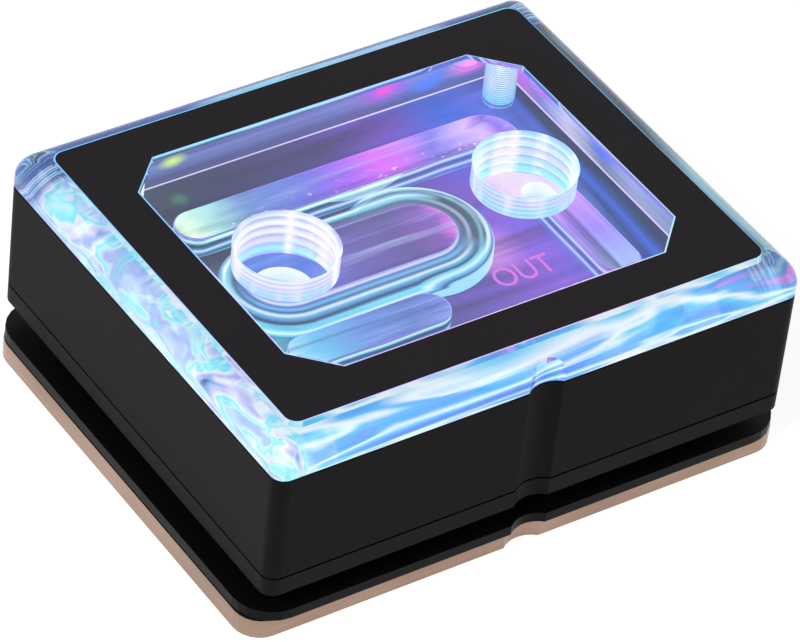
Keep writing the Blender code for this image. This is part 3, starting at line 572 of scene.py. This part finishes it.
def chamber_look():
    """The rounded chamber round the inlet channel: painted bands of light, shade and reflection
    that follow its outline.
    """
    look = clear_look("chamber", srgb(50, 60, 80), 0.3, 0.03)
    x, y, z = look.axis("X"), look.axis("Y"), look.axis("Z")
    beyond = look.plus(look.maths('MAXIMUM', look.maths('SUBTRACT', x, CHAMBER_X), 0.0),
                       look.maths('MAXIMUM', look.maths('SUBTRACT', -PORT_X, x), 0.0))
    far = look.maths('SQRT', look.plus(look.times(beyond, beyond), look.times(y, y)))
    out = look.plus(look.fit(far, INLET_WIDTH / 2, CHAMBER_RADIUS),
                    look.waver(0.04, (45, 45, 20), 1.0))
    out = look.plus(out, look.fit(z, 17.8 * MM, BLOCK_BOTTOM, 0.0, 0.3))
    back = look.ramp(out, (0.0, 150, 185, 230), (0.12, 88, 96, 150), (0.26, 62, 90, 120),
                     (0.4, 120, 205, 230), (0.5, 205, 238, 250), (0.58, 110, 165, 205),
                     (0.68, 70, 95, 130), (0.8, 150, 225, 245), (0.88, 225, 250, 255),
                     (0.95, 85, 130, 170), (1.0, 205, 240, 255), ease='EASE')
    front = look.ramp(out, (0.0, 215, 225, 255), (0.1, 85, 115, 190), (0.2, 105, 190, 235),
                      (0.32, 75, 105, 175), (0.42, 205, 240, 255), (0.52, 85, 165, 225),
                      (0.62, 48, 70, 110), (0.7, 115, 215, 245), (0.8, 210, 245, 255),
                      (0.9, 80, 185, 235), (0.96, 50, 85, 130), (1.0, 150, 225, 245), ease='EASE')
    right = look.ramp(out, (0.0, 200, 180, 245), (0.1, 90, 85, 140), (0.2, 32, 36, 54),
                      (0.32, 150, 170, 205), (0.42, 40, 48, 66), (0.54, 36, 62, 74),
                      (0.64, 105, 175, 190), (0.74, 40, 60, 76), (0.86, 190, 240, 245),
                      (0.94, 70, 120, 150), (1.0, 215, 230, 255), ease='EASE')
    colour = look.mix(look.fit(y, -3 * MM, 3 * MM), front, back)
    at_right = look.times(look.fit(x, 4 * MM, 8 * MM),
                          look.fit(look.maths('ABSOLUTE', y), 7.5 * MM, 4 * MM))
    return look.glow(look.mix(at_right, colour, right), 0.95)


def side_look():
    """The clear block's own faces, painted with the lamps' glow in bands by height, and with
    painted spots and runs of it on the back and right ones.
    """
    look = clear_look("block_side", srgb(35, 38, 62), 0.3, 0.02)
    streak = look.waver(0.12, (14, 14, 700), 4.0, 0.6)
    height = look.plus(look.fit(look.axis("Z"), BLOCK_BOTTOM, 25.5 * MM), streak)
    colour = look.ramp(height, (0.0, 66, 72, 120), (0.35, 85, 98, 165), (0.6, 110, 130, 200),
                       (0.75, 75, 85, 150), (0.9, 120, 160, 215), (1.0, 60, 66, 120))
    run = look.plus(look.run(look.axis("Y"), CHANNEL_RUN), look.times(streak, 0.5))
    right = look.ramp(run, (0.0, 175, 190, 235), (0.2, 130, 150, 195), (0.4, 160, 170, 215),
                      (0.55, 110, 130, 175), (0.7, 205, 205, 240), (0.82, 120, 130, 220),
                      (0.92, 200, 100, 225), (1.0, 120, 160, 240))
    colour = look.mix(look.fit(look.axis("X"), 30.5 * MM, 31.2 * MM), colour, right)
    back_face, right_face = BLOCK[1] / 2, BLOCK[0] / 2
    for centre, radius, tone in (
            ((-18.1 * MM, back_face, 21.5 * MM), 2.6 * MM, srgb(215, 255, 120)),
            ((12.9 * MM, back_face, 21.8 * MM), 5.4 * MM, srgb(170, 70, 220)),
            ((12.9 * MM, back_face, 21.8 * MM), 2.6 * MM, srgb(255, 60, 195)),
            ((19.6 * MM, back_face, 19.5 * MM), 3.6 * MM, srgb(60, 120, 250)),
            ((26.1 * MM, back_face, 21.5 * MM), 4.6 * MM, srgb(255, 90, 225)),
            ((right_face, 16.2 * MM, 21.0 * MM), 3.0 * MM, srgb(235, 70, 225)),
            ((right_face, 3.0 * MM, 20.0 * MM), 4.0 * MM, srgb(80, 110, 245))):
        colour = look.mix(look.spot(centre, radius), colour, tone)
    return look.glow(colour, 0.88)


def bottom_look():
    """The block's lower face, a dark mirror painted with reflections and soft colour from the
    right-hand lamps.
    """
    look = clear_look("block_bottom", srgb(35, 36, 58), 0.1, 0.02)
    x, y = look.axis("X"), look.axis("Y")
    along = look.plus(look.run(x, BLOCK_RUN),
                      look.waver(0.07, (14, 330, 10), 4.0, 0.6, distortion=0.3))
    back = look.ramp(along, (0.0, 150, 235, 240), (0.07, 60, 90, 105), (0.16, 58, 70, 92),
                     (0.35, 64, 66, 112), (0.55, 84, 72, 145), (0.68, 120, 84, 205),
                     (0.78, 105, 98, 232), (0.9, 92, 120, 240), (1.0, 70, 90, 190))
    front = look.ramp(along, (0.0, 120, 225, 245), (0.2, 60, 120, 170), (0.4, 70, 90, 150),
                      (0.6, 118, 90, 205), (0.74, 150, 100, 240), (0.86, 110, 105, 240),
                      (1.0, 150, 170, 250))
    colour = look.mix(look.fit(y, 9 * MM, -4 * MM), back, front)
    # Painted pools of the lamps' light
    for centre, radius, tone in (
            ((9.5 * MM, -4.5 * MM, BLOCK_BOTTOM), 6.0 * MM, srgb(225, 160, 250)),
            ((19.6 * MM, 21.0 * MM, BLOCK_BOTTOM), 7.0 * MM, srgb(60, 110, 240)),
            ((-19.0 * MM, 21.0 * MM, BLOCK_BOTTOM), 1.6 * MM, srgb(70, 135, 100))):
        colour = look.mix(look.spot(centre, radius), colour, tone)

    # Right of the outlet channel the painted streaks of light and shade run along Y
    turned = look.fit(look.plus(x, look.times(y, -0.15)), 24 * MM, 28 * MM)
    edge = look.ramp(look.noise((210, 12, 10), 2.0, distortion=0.3),
                     (0.3, 24, 60, 110), (0.42, 36, 60, 105), (0.5, 60, 110, 230),
                     (0.56, 50, 75, 150), (0.7, 70, 150, 235))
    colour = look.mix(turned, colour, edge)
    # Streaks of painted shade
    dark = look.mix(turned, look.noise((16, 210, 10), distortion=0.6),
                    look.noise((260, 16, 10), distortion=0.4))
    colour = look.mix(look.fit(dark, 0.52, 0.72, 0.0, 0.7), colour, srgb(34, 36, 66))
    return look.glow(colour, 0.85)


def rim_look():
    """The underside of the clear rim, which sends the lamps' light out in streaks."""
    look = clear_look("rim_underside", srgb(60, 75, 100), 0.2, 0.08)
    x, y = look.axis("X"), look.axis("Y")
    left = look.ramp(look.noise((330, 95, 40), 2.5, distortion=1.5),
                     (0.24, 45, 60, 130), (0.3, 130, 170, 235), (0.37, 215, 205, 250),
                     (0.43, 245, 252, 255), (0.48, 120, 240, 250), (0.55, 205, 250, 255),
                     (0.62, 180, 190, 250), (0.7, 150, 225, 250), (0.78, 70, 90, 170))
    front = look.ramp(look.noise((30, 300, 40), 2.0, 0.45, distortion=0.8),
                      (0.26, 60, 80, 215), (0.34, 50, 140, 240), (0.42, 80, 205, 252),
                      (0.485, 235, 252, 255), (0.505, 240, 250, 255), (0.55, 70, 185, 250),
                      (0.6, 90, 150, 245), (0.65, 225, 140, 245), (0.72, 100, 105, 235),
                      (0.8, 50, 80, 205))
    right = look.ramp(look.noise((1500, 14, 40)), (0.32, 14, 24, 34), (0.44, 50, 90, 115),
                      (0.5, 140, 190, 205), (0.56, 24, 40, 62), (0.68, 70, 120, 140))
    back = look.ramp(look.noise((14, 1500, 40)), (0.32, 12, 22, 66), (0.43, 40, 80, 170),
                     (0.49, 165, 225, 250), (0.54, 22, 36, 96), (0.6, 70, 140, 220),
                     (0.68, 215, 220, 240))
    colour = look.mix(look.fit(x, -33 * MM, -31.5 * MM), left, front)
    at_right = look.times(look.fit(x, 31.2 * MM, 33 * MM), look.fit(y, -28 * MM, -24 * MM))
    colour = look.mix(at_right, colour, right)
    colour = look.mix(look.fit(y, 24.5 * MM, 26.5 * MM), colour, back)
    return look.glow(colour, 0.84)


def line_look():
    """The clear block's lower edge, a thin pale line of painted highlight."""
    look = Look("block_edge", Roughness=0.3, Base_Color=srgb(110, 110, 130))
    colour = look.ramp(look.run(look.axis("X"), BLOCK_RUN), (0.0, 215, 225, 240),
                       (0.4, 205, 200, 235), (0.7, 235, 225, 250), (1.0, 225, 205, 250))
    return look.glow(colour, 0.9)


def frosted_look(name, low, high, strength, *stops, valley_shade=None):
    """Tapped threads and port walls: cut plastic that scatters the light, painted here as a glow.

    The colours run from low to high, and valley_shade is the painted shade of the thread's
    valleys.
    """
    look = Look(name, Base_Color=srgb(80, 92, 115), Transmission_Weight=0.3, Roughness=0.25,
                IOR=ACRYLIC_IOR)
    height = look.plus(look.fit(look.axis("Z"), low, high),
                       look.waver(0.12, (160, 160, 2400), 4.0, 0.6))
    colour = look.ramp(height, *stops)
    if valley_shade:
        valley = look.levels(look.stored("ridge"), (0.0, 1), (0.35, 0.45), (0.7, 0), (1.0, 0.25))
        colour = look.mix(valley, colour, valley_shade)
        # Upright streaks of painted highlight on the cut threads
        upright = look.noise((330, 330, 25), 2.0)
        colour = look.mix(look.fit(upright, 0.5, 0.68, 0.0, 0.8), colour, srgb(255, 242, 252))
    return look.glow(colour, strength)


def edge_look():
    """The milled pocket edges, which carry the lamps' light as a fine line."""
    look = Look("lit_edge", Roughness=0.3, Base_Color=srgb(120, 160, 200))
    x = look.axis("X")
    along = look.run(x, EDGE_RUN[0])
    across = look.run(look.axis("Y"), EDGE_RUN[1])
    front = look.ramp(along, (0.0, 190, 200, 250), (0.4, 225, 180, 240), (0.7, 240, 190, 235),
                      (1.0, 150, 230, 230))
    back = look.ramp(along, (0.0, 110, 190, 250), (0.5, 120, 220, 255), (0.8, 190, 190, 255),
                     (1.0, 90, 235, 235))
    colour = look.mix(look.fit(across, 0.15, 0.85), front, back)
    colour = look.mix(look.fit(x, 33 * MM, 33.6 * MM), colour, srgb(80, 125, 150))
    return look.glow(colour, 0.95)


def mark_look():
    # The engraved letters are painted with a pink glow for the lamps' light that they scatter
    look = Look("engraved", Roughness=0.5, Base_Color=srgb(120, 60, 110))
    return look.glow(srgb(210, 110, 220), 0.85)


def strip_look():
    """The lit board: each lamp's colour spreads along it."""
    look = Look("lit_board", Roughness=0.6, Base_Color=srgb(200, 210, 225))
    across = look.run(look.axis("Y"), STRIP_RUN[1])
    along = look.run(look.axis("X"), STRIP_RUN[0])
    back = look.ramp(along, (0.0, 150, 235, 245), (0.22, 190, 255, 150), (0.45, 90, 140, 255),
                     (0.66, 255, 80, 200), (0.88, 240, 120, 240), (1.0, 130, 220, 250))
    front = look.ramp(along, (0.0, 120, 235, 250), (0.3, 150, 240, 255), (0.55, 225, 200, 255),
                      (0.8, 120, 190, 255), (1.0, 235, 190, 255))
    return look.glow(look.mix(look.fit(across, 0.1, 0.9), front, back), 1.6)


def lamp_look(name, colour):
    return Look(name, Roughness=0.3, Base_Color=srgb(235, 240, 245)).glow(colour, 4.0)


# ---- the clear top

def clear_top():
    """The milled clear slab and block: the round-over, the block below, and all that is cut."""
    steps = 20
    rings = [[(x, y, TOP_BOTTOM) for x, y in rectangle(*BODY, BODY_CORNER)]]
    for number in range(steps + 1):
        angle = math.pi / 2 * number / steps
        inset = ROUND_OVER * (1 - math.cos(angle))
        level = TOP - ROUND_OVER + ROUND_OVER * math.sin(angle)
        corner = BODY_CORNER - (BODY_CORNER - COVER_CORNER) * inset / ROUND_OVER
        outline = rectangle(BODY[0] - 2 * inset, BODY[1] - 2 * inset, corner)
        rings.append([(x, y, level) for x, y in outline])
    top = lofted("clear_top", rings)
    block = prism("block", rectangle(*BLOCK, BLOCK_CORNER), BLOCK_BOTTOM, TOP_BOTTOM + OVERLAP,
                  bottom_edge=BLOCK_EDGE)
    change(top, [block], 'UNION')
    change(top, notch_and_pocket() + port_cutters() + channel_cutters() + screw_cutters(),
           'DIFFERENCE')
    return top


def notch_and_pocket():
    """Cutters for the notch in the front and for the cover frame's pocket."""
    depth = NOTCH_RADIUS - math.sqrt(NOTCH_RADIUS ** 2 - (NOTCH_WIDTH / 2) ** 2)
    notch = circle(0, -BODY[1] / 2 + depth - NOTCH_RADIUS, NOTCH_RADIUS)
    return [prism("notch", notch, TOP_BOTTOM - PAST, TOP + PAST),
            ring_prism("pocket", cover_outline(COVER_FIT), pocket_island(),
                       POCKET_FLOOR, TOP + PAST)]


def port_cutters():
    """Cutters for the ports and their ways down to the channels."""
    drop = rectangle(*DROP, DROP[0] / 2.01, ARC_STEPS, (DROP_X, 0))
    return [prism("inlet_port", circle(-PORT_X, 0, PORT_RADIUS), PORT_FLOOR, TOP + PAST),
            prism("outlet_port", circle(PORT_X, 0, PORT_RADIUS), PORT_FLOOR, TOP + PAST),
            prism("inlet_bore", circle(-PORT_X, 0, BORE_RADIUS),
                  INLET_CEILING - PAST, PORT_FLOOR + PAST),
            prism("drop", drop, CHANNEL_CEILING - PAST, PORT_FLOOR + PAST)]


def channel_cutters():
    """Cutters for the channels that are milled from below, with their edges rounded."""
    low = BLOCK_BOTTOM - PAST
    front = capsule(CHANNEL_LEFT, FRONT_CHANNEL_RIGHT, FRONT_CHANNEL_Y, CHANNEL_WIDTH)
    half = INLET_WIDTH / 2
    inlet = capsule(-PORT_X - half, CHAMBER_X + half, 0, INLET_WIDTH, 3 * ARC_STEPS)
    return [prism("outlet_channel", outlet_channel(), low, CHANNEL_CEILING, EDGE),
            prism("front_channel", front, low, CHANNEL_CEILING, EDGE),
            prism("chamber", inlet_chamber(), low, CHAMBER_CEILING, CHAMBER_FILLET),
            prism("inlet_channel", inlet, low, INLET_CEILING, EDGE)]


def screw_cutters():
    """Cutters for the corner holes, a little wider where their threads go."""
    cutters = []
    steps = 4 * ARC_STEPS
    for number, (x, y) in enumerate(SCREW_PLACES):
        cutters.append(prism(f"screw_hole_{number}", circle(x, y, SCREW_HOLE, steps),
                             SCREW_THREAD_BOTTOM, SCREW_TOP))
        cutters.append(prism(f"shank_hole_{number}", circle(x, y, SHANK_HOLE, steps),
                             BLOCK_BOTTOM - PAST, SCREW_THREAD_BOTTOM + PAST))
    return cutters


def top_looks():
    """The clear top's materials, in the order of its slots."""
    return {
        "clear": clear_look("clear_acrylic_polished").material,
        "ceiling": ceiling_look(),
        "wall": wall_look(),
        "side": side_look(),
        "bottom": bottom_look(),
        "rim": rim_look(),
        "inlet_floor": frosted_look("inlet_floor", PORT_FLOOR - MM, PORT_FLOOR + MM, 0.8,
                                    (0.3, 70, 95, 200), (0.7, 120, 150, 240)),
        "outlet_floor": frosted_look("outlet_floor", PORT_FLOOR - MM, PORT_FLOOR + MM, 0.85,
                                     (0.3, 225, 185, 245), (0.7, 255, 235, 255)),
        "bore": frosted_look("bore_wall", 21 * MM, PORT_FLOOR, 0.9, (0.0, 150, 190, 240),
                             (0.4, 225, 245, 255), (1.0, 250, 252, 255)),
        "line": line_look(),
        "chamber": chamber_look(),
    }


def face_kind(face):
    """The material that a face of the clear top gets, or None where a thread stands for it."""
    x, y, z = face.calc_center_median()
    rise = face.normal.z
    upright = abs(rise) < STEEP
    in_x, in_y = BLOCK[0] / 2 - abs(x), BLOCK[1] / 2 - abs(y)
    from_port = math.hypot(abs(x) - PORT_X, y)
    from_screw = min(math.hypot(x - screw_x, y - screw_y) for screw_x, screw_y in SCREW_PLACES)
    if upright and z > SCREW_THREAD_BOTTOM and from_screw < SCREW_HOLE + CLOSE:
        return None
    if abs(z - PORT_FLOOR) < CLOSE and rise > STEEP:
        return "inlet_floor" if x < 0 else "outlet_floor"
    if upright and z > PORT_FLOOR and from_port < PORT_RADIUS + NEAR:
        return None
    if upright and CHANNEL_CEILING < z < PORT_FLOOR and from_port < PORT_RADIUS:
        return "bore"
    if abs(z - TOP_BOTTOM) < CLOSE and rise < -STEEP:
        return "rim"
    if abs(z - BLOCK_BOTTOM) < CLOSE:
        return "bottom"
    if z < BLOCK_BOTTOM + BLOCK_EDGE and min(in_x, in_y) < BLOCK_EDGE:
        return "line"
    if z < TOP_BOTTOM and min(in_x, in_y) < BLOCK_CORNER + NEAR:
        return "side"
    if (z < CHAMBER_CEILING + CLOSE and abs(y) < CHAMBER_RADIUS + CLOSE
            and x < CHAMBER_X + CHAMBER_RADIUS + CLOSE):
        return "chamber"
    if z < INLET_CEILING + NEAR:
        return "ceiling" if rise < -FLAT else "wall"
    return "clear"


def sort_faces(top, looks):
    """Gives each face of the clear top its material, and opens the walls that have threads."""
    for material in looks.values():
        top.data.materials.append(material)
    slots = list(looks)
    work = bmesh.new()
    work.from_mesh(top.data)
    gone = []
    for face in work.faces:
        kind = face_kind(face)
        if kind:
            face.material_index = slots.index(kind)
        else:
            gone.append(face)
    bmesh.ops.delete(work, geom=gone, context='FACES_ONLY')
    work.to_mesh(top.data)
    work.free()


# ---- threads, edge lines and the mark

def threaded(name, centre, bottom, top, form, look, steps, rows_per_turn, mouth=0.0):
    """A threaded wall: a right-hand helix cut into a round hole, seen from both sides.

    form is the hole's radius, the thread's depth and its pitch.
    """
    radius, depth, pitch = form
    rows = round((top - bottom) / pitch * rows_per_turn)
    work = bmesh.new()
    kept = work.verts.layers.float.new("ridge")
    loops = []
    for row in range(rows + 1):
        height = bottom + (top - bottom) * row / rows
        fade = min(1.0, (top - height) / (RUN_OUT_TOP * pitch),
                   (height - bottom) / (RUN_OUT_BOTTOM * pitch) + FIRST_CUT)
        opening = mouth * max(0.0, 1 - (top - height) / MOUTH_HEIGHT)
        loop = []
        for step in range(steps):
            angle = 2 * math.pi * step / steps
            phase = ((height - bottom) / pitch - step / steps) % 1.0
            ridge = max(0.0, 1 - abs(phase - 0.5) / CREST_HALF)
            crest = max(0.0, fade) * min(1.0, CREST_SLOPE * ridge)
            reach = radius - depth * crest + opening
            point = work.verts.new((centre[0] + reach * math.cos(angle),
                                    centre[1] + reach * math.sin(angle), height))
            point[kept] = crest
            loop.append(point)
        loops.append(loop)
    for low, high in zip(loops, loops[1:]):
        join_loops(work, low, high)
    made = mesh_from(work, name)
    smooth(made, 50)
    made.data.materials.append(look)
    return made


def port_threads():
    """The two G1/4 threads."""
    inlet = frosted_look("inlet_thread", PORT_FLOOR, TOP, 1.0, (0.0, 110, 235, 240),
                         (0.2, 160, 230, 245), (0.45, 225, 215, 248), (0.7, 250, 245, 250),
                         (1.0, 225, 248, 250), valley_shade=srgb(175, 180, 235))
    outlet = frosted_look("outlet_thread", PORT_FLOOR, TOP, 0.95, (0.0, 115, 245, 225),
                          (0.25, 150, 240, 235), (0.55, 220, 210, 248), (0.8, 205, 235, 245),
                          (1.0, 160, 240, 235), valley_shade=srgb(150, 185, 230))
    form = (PORT_RADIUS, THREAD_DEPTH, THREAD_PITCH)
    return [threaded(name, (x, 0), PORT_FLOOR, TOP, form, look, 10 * ARC_STEPS, 14, PORT_MOUTH)
            for name, x, look in (("inlet_thread", -PORT_X, inlet),
                                  ("outlet_thread", PORT_X, outlet))]


def screw_threads():
    """The threads of the four corner holes."""
    look = frosted_look("screw_thread", SCREW_THREAD_BOTTOM, SCREW_TOP, 1.0, (0.0, 120, 230, 248),
                        (0.5, 235, 250, 252), (1.0, 200, 240, 250), valley_shade=srgb(105, 140, 200))
    form = (SCREW_HOLE, SCREW_DEPTH, SCREW_PITCH)
    return [threaded(f"screw_thread_{number}", place, SCREW_THREAD_BOTTOM, SCREW_TOP, form, look,
                     4 * ARC_STEPS, 8)
            for number, place in enumerate(SCREW_PLACES, 1)]


def flat_ring(name, outer, inner, look):
    """A thin bright line on a milled edge, between two outlines."""
    work = bmesh.new()
    loops = [[work.verts.new((x, y, TOP - LINE_DROP)) for x, y in outline]
             for outline in (outer, inner)]
    join_loops(work, *loops)
    made = mesh_from(work, name)
    made.data.materials.append(look)
    return made


def edge_lines():
    """Painted lines of the lamps' light in the gaps round the cover frame and inside its window.
    """
    look = edge_look()
    return [flat_ring("cover_edge_line", cover_outline(COVER_FIT), cover_outline(), look),
            flat_ring("window_edge_line", window_outline(), window_outline(-COVER_FIT), look)]


MARK_SIZE = 4.9 * MM
MARK_PLACE = (7.1 * MM, -11.2 * MM, BLOCK_BOTTOM + 0.12 * MM)
MARK_NARROW = 0.83             # the letters' width, as a share of the font's own
MARK_SPACING = 0.98
MARK_THICK = 0.04 * MM         # to each side


def engraved_mark():
    """The generic outlet word, engraved in the block's lower face."""
    curve = bpy.data.curves.new("outlet_mark", 'FONT')
    curve.body = "OUT"
    curve.size = MARK_SIZE
    curve.space_character = MARK_SPACING
    curve.extrude = MARK_THICK
    text = show("outlet_mark", curve)
    text.location = MARK_PLACE
    text.scale.x = MARK_NARROW
    bpy.context.view_layer.update()
    depsgraph = bpy.context.evaluated_depsgraph_get()
    mesh = bpy.data.meshes.new_from_object(text.evaluated_get(depsgraph))
    mesh.transform(text.matrix_world)
    bpy.data.objects.remove(text)
    mesh.materials.append(mark_look())
    return show("outlet_mark", mesh)


# ---- camera, light and floor

PHOTO_WIDTH = 800.0            # pixels
FOCAL_LENGTH = 5341.54         # pixels
SENSOR = 36.0                  # millimetres
CAMERA_ANGLES = (-37.470, 40.030, 6.857)                       # azimuth, elevation and roll
CAMERA_REACH = (665.1975 * MM, 1.8375 * MM, 9.165 * MM)        # back, right and up
FILL_LEVEL = 0.25              # the world's light on the object
LAMP_TARGET = (0, 0, 0.01)     # near the middle of the block
FLOOR_HALF = 1.5
FLOOR_DROP = 0.02 * MM         # below the contact face
FLOOR_GREY = 0.8
FLOOR_SHINE = 0.78             # makes the floor white in the camera, and keeps the shadow


def make_camera():
    """The photograph's own viewing angle."""
    azimuth, elevation, roll = (math.radians(angle) for angle in CAMERA_ANGLES)
    back = Vector((math.sin(azimuth) * math.cos(elevation),
                   -math.cos(azimuth) * math.cos(elevation), math.sin(elevation)))
    right = Vector((math.cos(azimuth), math.sin(azimuth), 0))
    up = back.cross(right)
    side = math.cos(roll) * right + math.sin(roll) * up
    rise = -math.sin(roll) * right + math.cos(roll) * up
    data = bpy.data.cameras.new("camera")
    data.sensor_width = SENSOR
    data.lens = FOCAL_LENGTH * SENSOR / PHOTO_WIDTH
    data.clip_start = 0.05
    data.clip_end = 20.0
    camera = show("camera", data)
    place = CAMERA_REACH[0] * back + CAMERA_REACH[1] * side + CAMERA_REACH[2] * rise
    turn = Matrix((side, rise, back)).transposed().to_4x4()
    camera.matrix_world = Matrix.Translation(place) @ turn
    bpy.context.scene.camera = camera


def lamp(name, place, size, power, colour):
    """A soft rectangular lamp that shines on the block."""
    data = bpy.data.lights.new(name, 'AREA')
    data.shape = 'RECTANGLE'
    data.size, data.size_y = size
    data.energy = power
    data.color = colour
    made = show(name, data)
    made.location = place
    aim = Vector(LAMP_TARGET) - Vector(place)
    made.rotation_euler = aim.to_track_quat('-Z', 'Y').to_euler()


def make_world():
    """White for the camera and for mirrored and bent rays, and a dim fill for the rest."""
    world = bpy.data.worlds.new("studio")
    bpy.context.scene.world = world
    world.use_nodes = True
    nodes, join = world.node_tree.nodes, world.node_tree.links.new
    nodes.clear()
    rays = nodes.new("ShaderNodeLightPath")
    white = rays.outputs["Is Camera Ray"]
    for kind in ("Is Glossy Ray", "Is Transmission Ray"):
        either = nodes.new("ShaderNodeMath")
        either.operation = 'MAXIMUM'
        join(white, either.inputs[0])
        join(rays.outputs[kind], either.inputs[1])
        white = either.outputs[0]
    blend = nodes.new("ShaderNodeMixShader")
    join(white, blend.inputs[0])
    for socket, strength in ((1, FILL_LEVEL), (2, 1.0)):
        plain = nodes.new("ShaderNodeBackground")
        plain.inputs["Color"].default_value = WHITE
        plain.inputs["Strength"].default_value = strength
        join(plain.outputs[0], blend.inputs[socket])
    join(blend.outputs[0], nodes.new("ShaderNodeOutputWorld").inputs["Surface"])


def floor_look():
    """Pale and diffuse, lifted to white except where it lights the object."""
    material = bpy.data.materials.new("pale_floor")
    material.use_nodes = True
    nodes, join = material.node_tree.nodes, material.node_tree.links.new
    nodes.clear()
    pale = nodes.new("ShaderNodeBsdfDiffuse")
    pale.inputs["Color"].default_value = (FLOOR_GREY, FLOOR_GREY, FLOOR_GREY, 1)
    shine = nodes.new("ShaderNodeEmission")
    shine.inputs["Strength"].default_value = FLOOR_SHINE
    lifted = nodes.new("ShaderNodeAddShader")
    join(pale.outputs[0], lifted.inputs[0])
    join(shine.outputs[0], lifted.inputs[1])
    blend = nodes.new("ShaderNodeMixShader")
    join(nodes.new("ShaderNodeLightPath").outputs["Is Diffuse Ray"], blend.inputs[0])
    join(lifted.outputs[0], blend.inputs[1])
    join(pale.outputs[0], blend.inputs[2])
    join(blend.outputs[0], nodes.new("ShaderNodeOutputMaterial").inputs["Surface"])
    return material


def make_stage():
    """White surroundings, soft lamps and a pale floor that keeps the shadow."""
    make_world()
    lamp("key", (-0.55, -0.15, 0.5), (0.35, 0.35), 1.9, (1.0, 0.97, 0.975))
    lamp("fill", (0.3, -0.6, 0.35), (0.4, 0.3), 0.25, (0.96, 0.98, 1.0))
    mesh = bpy.data.meshes.new("floor")
    places = [(side_x * FLOOR_HALF, side_y * FLOOR_HALF, 0) for side_x, side_y in CORNERS]
    mesh.from_pydata(places, [], [(0, 1, 2, 3)])
    floor = show("floor", mesh)
    floor.location.z = -FLOOR_DROP
    floor.data.materials.append(floor_look())
    bpy.context.scene.view_settings.view_transform = 'Standard'


# ---- the CAD nodes that stay

LAMP_TONES = [(170, 255, 90), (90, 225, 250), (70, 120, 255), (120, 220, 255),
              (255, 60, 190), (200, 170, 255), (255, 90, 220), (120, 210, 255)]
LAMP_COUNT = 14
OTHER_LAMPS = (120, 215, 255)


def dress(material, *nodes):
    """Gives CAD nodes their finished material."""
    for node in nodes:
        for slot in NODES[node].material_slots:
            slot.material = material


def dress_nodes():
    dress(copper_look(), "cold_plate")
    dress(housing_look(), "housing")
    dress(black_look("mask_satin", (0.0135, 0.0108, 0.0135), 0.5, 6000.0, 0.1).material,
          "cover_frame")
    dress(black_look("frame_acetal", (0.0105, 0.0090, 0.0095), 0.48, 9000.0, 0.06).material,
          "base_frame", "flow_guide")
    dress(black_look("flange_coat", (0.005, 0.0045, 0.0045), 0.4, 5000.0, 0.08).material,
          "mount_flange")
    dress(black_look("rubber", (0.014, 0.014, 0.014), 0.7, 4000.0, 0.3).material,
          "plate_seal", "base_seal", "channel_seal")
    screws = [f"{kind}_{number}" for kind in ("screw", "base_screw") for number in range(1, 5)]
    dress(steel_look(), "jet_plate", *screws)
    dress(strip_look(), "led_strip")
    for number in range(LAMP_COUNT):
        tone = LAMP_TONES[number] if number < len(LAMP_TONES) else OTHER_LAMPS
        label = f"{number + 1:02d}"
        dress(lamp_look(f"lamp_{label}", srgb(*tone)), f"led_{label}")


def main():
    make_camera()
    make_stage()
    dress_nodes()

    top = clear_top()
    sort_faces(top, top_looks())
    smooth(top, 28)
    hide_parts("acrylic_top")
    pieces = [top, *port_threads(), *screw_threads(), *edge_lines(), engraved_mark()]
    for piece in pieces:
        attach(piece, "root")


main()
